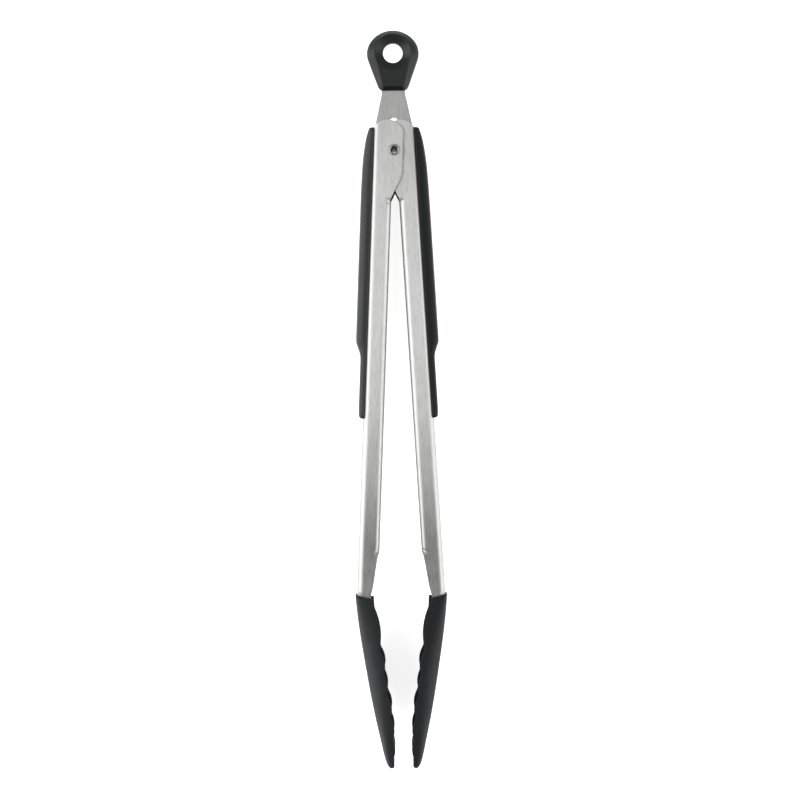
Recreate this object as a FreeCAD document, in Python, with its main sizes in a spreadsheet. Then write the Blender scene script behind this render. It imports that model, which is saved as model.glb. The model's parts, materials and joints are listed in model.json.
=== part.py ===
import FreeCAD, Part
import Sketcher
import math
import os

# Spring loaded kitchen tongs, lying flat.
# X runs across the two arms, +Y towards the hanging loop, +Z up along the pivot.
# Every arm piece is drawn in its arm's own frame: x points outwards from the
# middle of the tongs, y along the arm towards the loop, z along the pivot.
# The arm frame turns about the pivot to give the rest angle.

V = FreeCAD.Vector
doc = FreeCAD.newDocument("kitchen_tongs")

# ---------------------------------------------------------------- dimensions
sheet = doc.addObject("Spreadsheet::Sheet", "Dims")
VALUES = {}


def dim(alias, value, note=""):
    row = len(VALUES) + 1
    sheet.set("A%d" % row, alias)
    sheet.set("B%d" % row, repr(float(value)))
    sheet.set("C%d" % row, note)
    sheet.setAlias("B%d" % row, alias)
    VALUES[alias] = float(value)


# layout
dim("pivot_to_centre", 117.066, "pivot ahead of the middle of the footprint")
dim("pivot_height", 18.5, "pivot mid-plane above the table")
dim("arm_angle", 2.8, "each arm from the middle line at rest, degrees")
# arms
dim("sheet_thick", 0.9, "steel sheet")
dim("left_width", 25.4, "left channel, outside, at the pivot")
dim("right_width", 22.6, "right channel, outside, at the pivot")
dim("neck_width", 19.0, "both channels at the head")
dim("back_out", 10.6, "outside of the channel's back")
dim("edge_in", 0.8, "inner edge of the side walls")
dim("ear_in", 3.9, "ear past the pivot axis")
dim("ear_shoulder", 9.0, "where the ear's round top starts, inner side")
dim("ear_back_end", 9.6, "where the ear's round top meets the back")
dim("ear_round", 7.9, "radius of the ear's top")
dim("ear_chamfer_top", 11.9, "start of the ear's slanted edge")
dim("ear_chamfer_end", 22.8, "end of the ear's slanted edge")
dim("taper_start", 30.0, "where the channel starts to narrow")
dim("nick_start", 189.0, "small step in the inner edge")
dim("nick_end", 190.8, "")
dim("nick_edge", 1.5, "")
dim("wall_end", 207.0, "inner corner at the walls' lower end")
dim("wall_end_edge", 3.5, "")
dim("shoulder_low", 213.0, "lowest point of the walls")
dim("shoulder_edge", 5.2, "")
dim("shoulder_top", 203.0, "where the walls run out on the back")
dim("shoulder_round", 10.5, "radius of the walls' rounded lower corner")
dim("bend_radius", 2.2, "outside bend of the channel")
dim("tongue_width", 13.0, "steel tongue inside the head")
dim("tongue_start", 214.2, "")
dim("tongue_bend", 219.0, "tongue turns inwards with the head")
dim("tongue_bend_out", 9.2, "")
dim("tongue_end", 232.0, "")
dim("tongue_end_out", 6.83, "")
# pivot
dim("rivet_radius", 2.0, "")
dim("rivet_bore", 1.45, "")
dim("pivot_hole", 2.05, "")
dim("rivet_flange", 2.65, "rolled end")
dim("rivet_head", 3.4, "factory head")
dim("rivet_head_high", 0.9, "")
dim("rivet_roll_high", 0.55, "")
dim("gap", 0.05, "clearance between stacked faces")
dim("washer_thick", 0.4, "")
dim("washer_radius", 5.0, "")
dim("bush_radius", 3.5, "")
dim("tab_thick", 1.5, "")
# spring
dim("wire_radius", 0.7, "")
dim("coil_radius", 4.6, "middle of the wire")
dim("coil_inner", 2.4, "height of the coil's inner end")
dim("coil_outer", 8.2, "height of the coil's outer end")
dim("left_foot_along", 24.0, "")
dim("right_foot_along", 26.5, "")
# tab
dim("tongue_half", 5.55, "tab inside the loop, half width")
dim("tab_top", 40.4, "")
dim("tab_flare_top", 27.6, "")
dim("tab_flare_half", 8.66, "")
dim("tab_flare_low", 13.4, "")
dim("tab_wide_half", 9.06, "wedge that stands between the arms' backs")
dim("tab_wide_top", 9.3, "")
dim("tab_wide_low", 3.6, "")
dim("tab_foot_half", 6.2, "")
dim("tab_foot", 7.0, "")
dim("slot_half", 2.05, "")
dim("slot_top", 14.35, "")
dim("slot_low", 1.15, "")
dim("key_hole", 1.9, "hole the loop is moulded through")
dim("key_hole_along", 34.6, "")
# loop
dim("loop_thick", 9.0, "")
dim("eye_along", 46.8, "centre of the hanging hole")
dim("eye_radius", 4.65, "")
dim("eye_dish", 4.0, "width of the dish round the hole")
dim("eye_dish_deep", 2.1, "")
dim("loop_side_top", 43.0, "")
dim("loop_side_half", 11.6, "")
dim("loop_crown_low", 53.0, "")
dim("loop_crown_half", 9.94, "")
dim("loop_crown_round", 13.04, "")
dim("loop_side_round", 9.8, "")
dim("loop_foot", 29.1, "")
dim("loop_foot_half", 6.75, "")
dim("loop_edge_round", 2.4, "")
dim("loop_corner_round", 1.3, "")
# grips
dim("grip_lap", 0.9, "grip past the channel's back corner")
dim("grip_out", 15.25, "outside of the thick part")
dim("grip_tongue_out", 12.85, "outside of the lower tongue")
dim("grip_top", 10.3, "")
dim("grip_ramp_top", 90.5, "")
dim("grip_ramp_low", 98.0, "")
dim("grip_end", 126.6, "")
dim("grip_inset", 0.0, "")
dim("grip_round", 3.0, "")
dim("grip_tongue_half", 9.2, "")
# grip anchors
dim("anchor_thick", 1.4, "")
dim("anchor_half", 5.0, "")
dim("anchor_top", 34.0, "")
dim("anchor_low", 118.0, "")
dim("stud_radius", 2.6, "")
dim("stud_high", 1.1, "stud above the channel's back")
dim("stud_first", 42.0, "")
dim("stud_pitch", 34.0, "")
# heads
dim("core_depth", 2.0, "core below the head's back")
dim("core_thick", 1.6, "")
dim("core_half", 6.5, "")
dim("core_low", 264.0, "")
dim("head_wall", 4.6, "head's wall behind the scoop")
dim("rim_wall", 2.9, "rim's wall")
dim("head_rivet_radius", 1.5, "")
dim("head_rivet_first", 221.3, "")
dim("head_rivet_pitch", 7.5, "")

# head stations: distance from the pivot, outside of the back at the middle,
# half width, fall of the back towards the sides
HEAD = [
    (209.6, 11.6, 11.4, 1.3),
    (217.0, 10.6, 12.6, 2.6),
    (226.0, 9.1, 15.2, 4.2),
    (236.0, 7.15, 17.7, 5.4),
    (246.0, 5.05, 18.5, 5.8),
    (257.0, 2.65, 17.9, 5.2),
    (268.0, 0.0, 16.2, 4.0),
    (279.0, -2.95, 13.6, 2.6),
    (287.0, -5.15, 11.2, 1.6),
    (291.6, -6.9, 8.6, 1.0),
]
for i, (along, back, half, fall) in enumerate(HEAD):
    n = "abcdefghijkl"[i]
    dim("head_along_" + n, along, "head station")
    dim("head_back_" + n, back, "")
    dim("head_half_" + n, half, "")
    dim("head_fall_" + n, fall, "")

# scalloped rim, side view: valley points between the lobes (x, distance)
RIM = [
    (2.75, 209.6),
    (2.2, 216.6),
    (-1.15, 235.0),
    (-3.3, 246.0),
    (-5.2, 255.5),
    (-7.2, 266.0),
    (-8.6, 276.5),
    (-9.2, 286.0),
    (-9.6, 292.6),
]
LOBE = [0.0, 34.0, 11.5, 12.3, 11.3, 11.9, 11.3, 12.0, 0.0]
for i, (x, along) in enumerate(RIM):
    n = "abcdefghijkl"[i]
    dim("rim_x_" + n, x, "rim point")
    dim("rim_along_" + n, along, "")
for i, r in enumerate(LOBE):
    if r:
        dim("lobe_" + "abcdefghijkl"[i], r, "radius of a lobe of the rim")

doc.recompute()


class Q:
    """A size: its number now, and the expression that gives it."""

    def __init__(self, text, value):
        self.text = text
        self.value = float(value)

    def __add__(self, o):
        o = q(o)
        return Q("(%s + %s)" % (self.text, o.text), self.value + o.value)

    __radd__ = __add__

    def __sub__(self, o):
        o = q(o)
        return Q("(%s - %s)" % (self.text, o.text), self.value - o.value)

    def __rsub__(self, o):
        return q(o) - self

    def __mul__(self, o):
        o = q(o)
        return Q("(%s * %s)" % (self.text, o.text), self.value * o.value)

    __rmul__ = __mul__

    def __truediv__(self, o):
        o = q(o)
        return Q("(%s / %s)" % (self.text, o.text), self.value / o.value)

    def __neg__(self):
        return Q("(-1 * %s)" % self.text, -self.value)


def q(v):
    if isinstance(v, Q):
        return v
    return Q(repr(float(v)), v)


def D(alias):
    return Q("Dims." + alias, VALUES[alias])


def bind(obj, prop, quantity):
    setattr(obj, prop, quantity.value)
    obj.setExpression(prop, quantity.text)


# ------------------------------------------------------------------ sketches
PLANES = {"XY": "XY_Plane", "XZ": "XZ_Plane", "YZ": "YZ_Plane"}


def plane_of(body, name):
    for feature in body.Origin.OriginFeatures:
        if feature.Role == PLANES[name]:
            return feature
    raise RuntimeError("no plane " + name)


def pin_point(sk, geo, pos, x, y, tag):
    """Fix one point of the sketch at x, y, driven by the sheet."""
    for axis, val in (("X", x), ("Y", y)):
        if abs(val.value) < 1e-9:
            line = -2 if axis == "X" else -1
            sk.addConstraint(Sketcher.Constraint("PointOnObject", geo, pos, line))
            continue
        if val.value > 0:
            c = Sketcher.Constraint("Distance" + axis, -1, 1, geo, pos, val.value)
            text = val.text
        else:
            c = Sketcher.Constraint("Distance" + axis, geo, pos, -1, 1, -val.value)
            text = "-1 * %s" % val.text
        idx = sk.addConstraint(c)
        name = "p%s%s" % (tag, axis.lower())
        sk.renameConstraint(idx, name)
        sk.setExpression("Constraints." + name, text)


def arc_between(a, b, r, left):
    """Circle arc from a to b with radius r; left: centre lies left of a->b."""
    mx, my = (a[0] + b[0]) / 2.0, (a[1] + b[1]) / 2.0
    dx, dy = b[0] - a[0], b[1] - a[1]
    length = math.hypot(dx, dy)
    k = math.sqrt(max(r * r - length * length / 4.0, 0.0))
    s = 1.0 if left else -1.0
    cx, cy = mx - s * dy / length * k, my + s * dx / length * k
    a0 = math.atan2(a[1] - cy, a[0] - cx)
    a1 = math.atan2(b[1] - cy, b[0] - cx)
    circle = Part.Circle(V(cx, cy, 0), V(0, 0, 1), r)
    if left:                      # counter-clockwise from a to b
        return Part.ArcOfCircle(circle, a0, a1), True
    return Part.ArcOfCircle(circle, a1, a0), False


def draw(body, name, plane, wires, offset=None, circles=()):
    """Closed wires of (x, y) or (x, y, radius, left) points, and circles."""
    sk = body.newObject("Sketcher::SketchObject", name)
    sk.AttachmentSupport = [(plane_of(body, plane), "")]
    sk.MapMode = "FlatFace"
    if offset is not None:
        sk.AttachmentOffset = FreeCAD.Placement(V(0, 0, offset.value), FreeCAD.Rotation())
        sk.setExpression(".AttachmentOffset.Base.z", offset.text)
    tag = 0
    for wire in wires:
        pts = [tuple([q(p[0]), q(p[1])] + list(p[2:])) for p in wire]
        n = len(pts)
        ids, flips = [], []
        for i in range(n):
            a, b = pts[i], pts[(i + 1) % n]
            pa, pb = (a[0].value, a[1].value), (b[0].value, b[1].value)
            if len(a) > 2:
                geo, fwd = arc_between(pa, pb, a[2].value, a[3])
            else:
                geo, fwd = Part.LineSegment(V(pa[0], pa[1], 0), V(pb[0], pb[1], 0)), True
            ids.append(sk.addGeometry(geo, False))
            flips.append(fwd)
        for i in range(n):
            j = (i + 1) % n
            end = 2 if flips[i] else 1
            start = 1 if flips[j] else 2
            sk.addConstraint(Sketcher.Constraint("Coincident", ids[i], end, ids[j], start))
        for i in range(n):
            start = 1 if flips[i] else 2
            pin_point(sk, ids[i], start, pts[i][0], pts[i][1], "%d" % tag)
            if len(pts[i]) > 2:
                nxt = pts[(i + 1) % n]
                chord = math.hypot(nxt[0].value - pts[i][0].value, nxt[1].value - pts[i][1].value)
                if abs(chord - 2 * pts[i][2].value) < 1e-6:
                    # half circle: its centre lies on the line between its ends
                    sk.addConstraint(Sketcher.Constraint(
                        "Horizontal" if abs(nxt[1].value - pts[i][1].value) < 1e-6 else "Vertical",
                        ids[i], 3, ids[i], start))
                else:
                    idx = sk.addConstraint(Sketcher.Constraint("Radius", ids[i], pts[i][2].value))
                    sk.renameConstraint(idx, "r%d" % tag)
                    sk.setExpression("Constraints.r%d" % tag, pts[i][2].text)
            tag += 1
    for (x, y, r) in circles:
        x, y, r = q(x), q(y), q(r)
        g = sk.addGeometry(Part.Circle(V(x.value, y.value, 0), V(0, 0, 1), r.value), False)
        pin_point(sk, g, 3, x, y, "%d" % tag)
        idx = sk.addConstraint(Sketcher.Constraint("Radius", g, r.value))
        sk.renameConstraint(idx, "r%d" % tag)
        sk.setExpression("Constraints.r%d" % tag, r.text)
        tag += 1
    return sk


def new_body(name):
    body = doc.addObject("PartDesign::Body", name)
    body.Label = name
    return body


def pad(body, name, sk, length, midplane=True, reverse=False):
    f = body.newObject("PartDesign::Pad", name)
    f.Profile = sk
    f.SideType = "Symmetric" if midplane else "One side"
    f.Reversed = reverse
    bind(f, "Length", length)
    return f


def pocket(body, name, sk, length, midplane=True, reverse=False):
    before = body.Shape.Volume if body.Tip else 0
    f = body.newObject("PartDesign::Pocket", name)
    f.Profile = sk
    f.SideType = "Symmetric" if midplane else "One side"
    f.Reversed = reverse
    bind(f, "Length", length)
    doc.recompute()
    if not body.Shape.Volume < before - 1e-6:
        raise RuntimeError("%s cut nothing" % name)
    return f


def edges_where(shape, test):
    out = []
    for i, e in enumerate(shape.Edges):
        if test(e):
            out.append("Edge%d" % (i + 1))
    return out


def fillet(body, name, base, names, radius):
    if not names:
        raise RuntimeError("%s has no edges" % name)
    f = body.newObject("PartDesign::Fillet", name)
    f.Base = (base, names)
    bind(f, "Radius", radius)
    doc.recompute()
    return f


BIG = 60.0
SUBPARTS = []


def keep(obj, body_name):
    SUBPARTS.append((obj, body_name))
    return obj


# ---------------------------------------------------------------------- arms
def arm(side):
    width = D(side + "_width")
    t = D("sheet_thick")
    back = D("back_out")
    body = new_body(side + "_arm")
    # side view of the blank, the lower end still square
    side_view = draw(body, side + "_arm_side", "XY", [[
        (-D("ear_in"), D("ear_shoulder")),
        (-D("ear_in"), -D("ear_chamfer_top")),
        (D("edge_in"), -D("ear_chamfer_end")),
        (D("edge_in"), -D("nick_start")),
        (D("nick_edge"), -D("nick_end")),
        (D("wall_end_edge"), -D("wall_end")),
        (D("wall_end_edge"), -D("tongue_end")),
        (back, -D("tongue_end")),
        (back, D("ear_back_end"), D("ear_round"), True),
    ]])
    blank = pad(body, side + "_arm_blank", side_view, width)
    doc.recompute()
    # plan: parallel at the ears, then narrowing to the neck
    wide, neck, tongue = width / 2, D("neck_width") / 2, D("tongue_width") / 2
    outline = [
        (40.0, wide), (-D("taper_start"), wide), (-D("shoulder_top"), neck), (-250.0, neck),
        (-250.0, 40.0), (40.0, 40.0),
    ]
    mirrored = [(y, -1 * q(z)) for (y, z) in outline][::-1]
    plan = draw(body, side + "_arm_plan", "YZ", [outline, mirrored])
    trim = pocket(body, side + "_arm_trim", plan, q(BIG))
    # outside bends
    b = back.value

    def outer_bend(e):
        pts = [v.Point for v in e.Vertexes]
        return len(pts) == 2 and all(abs(p.x - b) < 1e-4 for p in pts) and \
            abs(pts[0].y - pts[1].y) > 5 and min(abs(p.z) for p in pts) > neck.value - 1e-3
    bend = fillet(body, side + "_arm_bend", trim, edges_where(trim.Shape, outer_bend), D("bend_radius"))
    # hollow of the channel, open on the inner side and at the ears' end
    hollow_line = [
        (40.0, wide - t), (-D("taper_start"), wide - t), (-D("shoulder_top"), neck - t),
        (-D("tongue_start"), neck - t), (-D("tongue_start"), -(neck - t)), (-D("shoulder_top"), -(neck - t)),
        (-D("taper_start"), -(wide - t)), (40.0, -(wide - t)),
    ]
    hollow_plan = draw(body, side + "_arm_hollow_plan", "YZ", [hollow_line], offset=back - t)
    hollow = pocket(body, side + "_arm_hollow", hollow_plan, q(BIG), midplane=False)
    inner = b - t.value

    def inner_bend(e):
        pts = [v.Point for v in e.Vertexes]
        return len(pts) == 2 and all(abs(p.x - inner) < 1e-4 for p in pts) and \
            abs(pts[0].y - pts[1].y) > 5 and min(abs(p.z) for p in pts) > (neck - t).value - 1e-3
    fillet(body, side + "_arm_inner_bend", hollow,
           edges_where(hollow.Shape, inner_bend), D("bend_radius") - t)
    # the walls' rounded lower end; the back goes on as a tongue
    low = draw(body, side + "_arm_wall_end", "XY", [[
        (-8.0, -D("wall_end")), (-8.0, -260.0), (D("tongue_end_out") - t, -260.0),
        (D("tongue_end_out") - t, -D("tongue_end")), (D("tongue_bend_out") - t, -D("tongue_bend")),
        (back - t, -(D("tongue_start") - 0.6)),
        (back - t, -D("shoulder_top"), D("shoulder_round"), False),
        (D("shoulder_edge"), -D("shoulder_low")), (D("wall_end_edge"), -D("wall_end")),
    ], [
        (back + 5, -(D("tongue_start") - 0.6)), (back, -(D("tongue_start") - 0.6)),
        (D("tongue_bend_out"), -D("tongue_bend")), (D("tongue_end_out"), -D("tongue_end")),
        (D("tongue_end_out"), -260.0), (back + 5, -260.0),
    ]])
    pocket(body, side + "_arm_wall_cut", low, q(BIG))
    step = D("tongue_start") - 0.6
    tongue_line = [(-step, neck + 1), (-step, tongue), (-260.0, tongue), (-260.0, neck + 1)]
    tongue_mirror = [(y, -1 * q(z)) for (y, z) in tongue_line][::-1]
    sk = draw(body, side + "_arm_tongue_plan", "YZ", [tongue_line, tongue_mirror])
    pocket(body, side + "_arm_tongue", sk, q(BIG))
    # pivot holes through both ears
    hole = draw(body, side + "_arm_pivot_hole", "XY", [], circles=[(0.0, 0.0, D("pivot_hole"))])
    pocket(body, side + "_arm_pivot", hole, q(BIG))
    # holes for the grip anchor's studs and the head's rivets, through the back
    studs = [(-(D("stud_first") + D("stud_pitch") * k), 0.0, D("stud_radius")) for k in range(3)]
    rivets = [(-(D("head_rivet_first") + D("head_rivet_pitch") * k), 0.0, D("head_rivet_radius"))
              for k in range(2)]
    back_holes = draw(body, side + "_arm_back_holes", "YZ", [], offset=back + 1, circles=studs + rivets)
    pocket(body, side + "_arm_studs", back_holes, q(7.0), midplane=False)
    return keep(body, side + "_arm")


# The channel's outside, filled solid: the grip and the head fit round it.
def arm_envelope(side):
    width = D(side + "_width")
    back = D("back_out")
    body = new_body(side + "_arm_outside")
    outline = [
        (30.0, width / 2), (-D("taper_start"), width / 2), (-D("shoulder_top"), D("neck_width") / 2),
        (-D("shoulder_top"), -(D("neck_width") / 2)), (-D("taper_start"), -(width / 2)), (30.0, -(width / 2)),
    ]
    sk = draw(body, side + "_outside_plan", "YZ", [outline])
    p = pad(body, side + "_outside_block", sk, back, midplane=False)
    doc.recompute()
    b = back.value

    def edge(e):
        pts = [v.Point for v in e.Vertexes]
        return len(pts) == 2 and all(abs(p_.x - b) < 1e-4 for p_ in pts) and abs(pts[0].y - pts[1].y) > 5
    fillet(body, side + "_outside_bend", p, edges_where(p.Shape, edge), D("bend_radius"))
    return body


# --------------------------------------------------------------------- grips
def grip(side, envelope):
    width = D(side + "_width")
    back = D("back_out")
    body = new_body(side + "_grip_blank")
    lap = back - D("grip_lap")
    side_view = draw(body, side + "_grip_side", "XY", [[
        (lap, D("grip_top") - 1.6),
        (lap, -(D("grip_end") - 0.3)),
        (lap + 1.6, -D("grip_end"), ),
        (D("grip_tongue_out") - 0.5, -(D("grip_end") - 0.4)),
        (D("grip_tongue_out"), -(D("grip_end") - 2.0)),
        (D("grip_tongue_out"), -D("grip_ramp_low")),
        (D("grip_out"), -D("grip_ramp_top")),
        (D("grip_out"), -20.0),
        (D("grip_out") - 0.35, -6.0, q(22.0), True),
        (D("grip_out") - 2.0, 7.2),
        (lap + 1.7, D("grip_top")),
        (lap + 0.6, D("grip_top") - 0.3),
    ]])
    pad(body, side + "_grip_pad", side_view, width)
    doc.recompute()
    # plan: as wide as the channel at each point
    wide, neck = width / 2, D("neck_width") / 2
    share = (D("grip_end") + 4 - D("taper_start")) / (D("shoulder_top") - D("taper_start"))
    low = wide - (wide - neck) * share
    outline = [(40.0, wide), (-D("taper_start"), wide), (-(D("grip_end") + 4), low),
               (-(D("grip_end") + 4), 40.0), (40.0, 40.0)]
    mirrored = [(y, -1 * q(z)) for (y, z) in outline][::-1]
    plan = draw(body, side + "_grip_plan", "YZ", [outline, mirrored])
    trim = pocket(body, side + "_grip_trim", plan, q(BIG))
    lo = back.value + 1.0

    def long_edge(e):
        pts = [v.Point for v in e.Vertexes]
        if len(pts) != 2 or min(p.x for p in pts) < lo:
            return False
        if abs(pts[0].y - pts[1].y) < 1.0:
            return False
        half = [abs(p.z) for p in pts]
        return min(half) > 5.0 and max(p.x for p in pts) > D("grip_tongue_out").value - 0.01 and \
            min(p.x for p in pts) > D("grip_tongue_out").value - 0.01
    fillet(body, side + "_grip_round", trim, edges_where(trim.Shape, long_edge), D("grip_round") - 1.0)
    # blind holes for the anchor's studs
    studs = [(-(D("stud_first") + D("stud_pitch") * k), 0.0, D("stud_radius")) for k in range(3)]
    sk = draw(body, side + "_grip_stud_holes", "YZ", [], offset=back + D("stud_high"), circles=studs)
    pocket(body, side + "_grip_studs", sk, q(20.0), midplane=False)
    cut = doc.addObject("Part::Cut", side + "_grip")
    cut.Label = side + "_grip"
    cut.Base = body
    cut.Tool = envelope
    doc.recompute()
    return keep(cut, side + "_arm")


def anchor(side):
    back = D("back_out")
    t = D("sheet_thick")
    body = new_body(side + "_grip_anchor")
    a, b, h = D("anchor_top"), D("anchor_low"), D("anchor_half")
    sk = draw(body, side + "_anchor_plan", "YZ", [[
        (-a, h, h, True), (-a, -h), (-b, -h, h, True), (-b, h)]], offset=back - t)
    p = pad(body, side + "_anchor_strip", sk, D("anchor_thick"), midplane=False, reverse=True)
    studs = [(-(D("stud_first") + D("stud_pitch") * k), 0.0, D("stud_radius")) for k in range(3)]
    sk2 = draw(body, side + "_anchor_stud_plan", "YZ", [], offset=back - t, circles=studs)
    pad(body, side + "_anchor_studs", sk2, t + D("stud_high"), midplane=False)
    doc.recompute()
    return keep(body, side + "_arm")


# --------------------------------------------------------------------- heads
def head_station(body, side, i, inner):
    n = "abcdefghijkl"[i]
    along, back, half, fall = D("head_along_" + n), D("head_back_" + n), D("head_half_" + n), D("head_fall_" + n)
    if inner:
        half = half - D("rim_wall")
        back = back - D("head_wall")
    low = q(-24.0) if not inner else q(-30.0)
    radius = (half * half + fall * fall) / (fall * 2)
    name = "%s_head_%s_%s" % (side, "in" if inner else "out", n)
    # outline seen along the arm: straight sides and a crowned back
    return draw(body, name, "XZ", [[
        (low, half), (low, -half), (back - fall, -half, radius, True), (back - fall, half)]],
        offset=along)


def tongue_line(shift):
    """Outside of the steel tongue, moved inwards by shift."""
    return [(D("back_out") - shift, -(D("tongue_start") - 0.6)),
            (D("tongue_bend_out") - shift, -D("tongue_bend")),
            (D("tongue_end_out") - shift, -D("tongue_end"))]


def core_line(depth):
    """Follows the head's back below the tongue, at a given depth."""
    f, g, low = "f", "g", D("core_low")
    slope = (D("head_back_f") - D("head_back_g")) / (D("head_along_g") - D("head_along_f"))
    return [(D("head_back_e") - depth, -D("head_along_e")),
            (D("head_back_f") - depth, -D("head_along_f")),
            (D("head_back_f") - depth - slope * (low - D("head_along_f")), -low)]


def core_wire():
    t, thick = D("sheet_thick"), D("core_thick")
    outer = tongue_line(t) + core_line(D("core_depth"))
    inner = tongue_line(t + thick) + core_line(D("core_depth") + thick)
    return outer + inner[::-1]


def head(side, envelope):
    body = new_body(side + "_head_blank")
    secs = [head_station(body, side, i, False) for i in range(len(HEAD))]
    doc.recompute()
    loft = body.newObject("PartDesign::AdditiveLoft", side + "_head_loft")
    loft.Profile = secs[0]
    loft.Sections = secs[1:]
    loft.Ruled = False
    doc.recompute()
    ins = [head_station(body, side, i, True) for i in range(1, len(HEAD) - 2)]
    doc.recompute()
    before = body.Shape.Volume
    scoop = body.newObject("PartDesign::SubtractiveLoft", side + "_head_scoop")
    scoop.Profile = ins[0]
    scoop.Sections = ins[1:]
    scoop.Ruled = False
    doc.recompute()
    if not body.Shape.Volume < before - 100:
        raise RuntimeError("scoop cut nothing")
    # scalloped rims, cut from the side
    pts = []
    for i in range(len(RIM)):
        n = "abcdefghijkl"[i]
        x, y = D("rim_x_" + n), -D("rim_along_" + n)
        if i < len(LOBE) and LOBE[i]:
            pts.append((x, y, D("lobe_" + n), True))
        else:
            pts.append((x, y))
    first, last = pts[0], pts[-1]
    wire = [(first[0], q(-205.0))] + pts + [(last[0], q(-300.0)), (q(-40.0), q(-300.0)), (q(-40.0), q(-205.0))]
    rim = draw(body, side + "_head_rim", "XY", [wire])
    pocket(body, side + "_head_scallops", rim, q(BIG))
    # room for the core and the steel tongue
    strip = draw(body, side + "_head_core_room", "XY", [core_wire()])
    pocket(body, side + "_head_core_slot", strip, D("core_half") * 2)
    # the steel tongue lies on the core's outer face
    t = D("sheet_thick")
    tongue = draw(body, side + "_head_tongue_room", "XY", [tongue_line(q(0.0)) + tongue_line(t)[::-1]])
    pocket(body, side + "_head_tongue_slot", tongue, D("tongue_width"))
    return body


def core(side):
    body = new_body(side + "_head_core")
    strip = draw(body, side + "_core_side", "XY", [core_wire()])
    pad(body, side + "_core_plate", strip, D("core_half") * 2)
    doc.recompute()
    rivets = [(-(D("head_rivet_first") + D("head_rivet_pitch") * k), 0.0, D("head_rivet_radius"))
              for k in range(2)]
    sk = draw(body, side + "_core_rivet_holes", "YZ", [], offset=D("back_out"), circles=rivets)
    pocket(body, side + "_core_holes", sk, q(9.0), midplane=False)
    return keep(body, side + "_arm")


def head_rivets(side):
    """Two flush rivets through the tongue and the core."""
    t = D("sheet_thick")
    body = new_body(side + "_rivet_stack")
    thick = t + D("core_thick")
    sk = draw(body, side + "_rivet_stack_side", "XY", [tongue_line(q(0.0)) + tongue_line(thick)[::-1]])
    pad(body, side + "_rivet_stack_block", sk, D("tongue_width"))
    doc.recompute()
    shapes = []
    for k in range(2):
        c = doc.addObject("Part::Cylinder", "%s_head_rivet_%d" % (side, k + 1))
        bind(c, "Radius", D("head_rivet_radius"))
        bind(c, "Height", q(14.0))
        along = D("head_rivet_first") + D("head_rivet_pitch") * k
        c.Placement = FreeCAD.Placement(V(1.0, -along.value, 0), FreeCAD.Rotation(V(0, 1, 0), 90))
        shapes.append(c)
    pair = doc.addObject("Part::Compound", side + "_head_rivet_pair")
    pair.Links = shapes
    group = doc.addObject("Part::Common", side + "_head_rivets")
    group.Label = side + "_head_rivets"
    group.Base = pair
    group.Tool = body
    doc.recompute()
    return keep(group, side + "_arm")


for side in ("left", "right"):
    arm(side)
    env = arm_envelope(side)
    grip(side, env)
    anchor(side)
    blank = head(side, env)
    # the socket: the head's mouth is cut by the channel's own outside
    cut = doc.addObject("Part::Cut", side + "_head")
    cut.Label = side + "_head"
    cut.Base = blank
    sock = new_body(side + "_channel_end")
    sk = draw(sock, side + "_channel_end_plan", "XY", [[
        (q(-1.0), -(D("shoulder_top") - 2)), (D("wall_end_edge") - 0.8, -(D("wall_end") + 1)),
        (D("shoulder_edge") - 0.9, -(D("shoulder_low") + 0.3)),
        (D("back_out") - D("sheet_thick"), -(D("tongue_start") - 0.6)),
        (D("back_out"), -(D("tongue_start") - 0.6)), (D("back_out"), -(D("shoulder_top") - 2))]])
    block = pad(sock, side + "_channel_end_block", sk, D("neck_width"))
    doc.recompute()
    edge_x = VALUES["back_out"]

    def end_bend(e):
        pts = [v.Point for v in e.Vertexes]
        return len(pts) == 2 and all(abs(p.x - edge_x) < 1e-4 for p in pts) and abs(pts[0].y - pts[1].y) > 3
    fillet(sock, side + "_channel_end_bend", block, edges_where(block.Shape, end_bend), D("bend_radius"))
    cut.Tool = sock
    doc.recompute()
    keep(cut, side + "_arm")
    core(side)
    head_rivets(side)


# --------------------------------------------------------------------- pivot
def ring(name, z0, z1, outer, inner):
    """Turned ring about the pivot."""
    body = new_body(name)
    sk = draw(body, name + "_section", "XZ", [[(inner, z0), (outer, z0), (outer, z1), (inner, z1)]])
    rev = body.newObject("PartDesign::Revolution", name + "_turned")
    rev.Profile = sk
    rev.ReferenceAxis = (sk, ["V_Axis"])
    rev.Angle = 360
    doc.recompute()
    return keep(body, "pivot")


t, gap = D("sheet_thick"), D("gap")
left_face = D("left_width") / 2
right_face = D("right_width") / 2
inner_face = right_face - t
washer_low = right_face + gap
ring("front_thrust_washer", washer_low, washer_low + D("washer_thick"), D("washer_radius"), D("pivot_hole"))
ring("back_thrust_washer", -(washer_low + D("washer_thick")), -washer_low, D("washer_radius"), D("pivot_hole"))
plate = D("tab_thick") / 2
ring("front_spacer_bush", plate + gap, inner_face - gap, D("bush_radius"), D("pivot_hole"))
ring("back_spacer_bush", -(inner_face - gap), -(plate + gap), D("bush_radius"), D("pivot_hole"))

rivet = new_body("pivot_rivet")
face = left_face + gap
bore, shank, flange, head_r = D("rivet_bore"), D("rivet_radius"), D("rivet_flange"), D("rivet_head")
roll, head_h = D("rivet_roll_high"), D("rivet_head_high")
sk = draw(rivet, "pivot_rivet_section", "XZ", [[
    (bore, -(face + head_h)), (head_r - 0.5, -(face + head_h)), (head_r, -(face + head_h - 0.5)),
    (head_r, -face), (shank, -face), (shank, face), (flange, face),
    (flange, face + roll * 0.45), (flange - 0.35, face + roll), (bore + 0.45, face + roll),
    (bore, face + roll * 0.2),
]])
rev = rivet.newObject("PartDesign::Revolution", "pivot_rivet_turned")
rev.Profile = sk
rev.ReferenceAxis = (sk, ["V_Axis"])
rev.Angle = 360
doc.recompute()
keep(rivet, "pivot")

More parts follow.
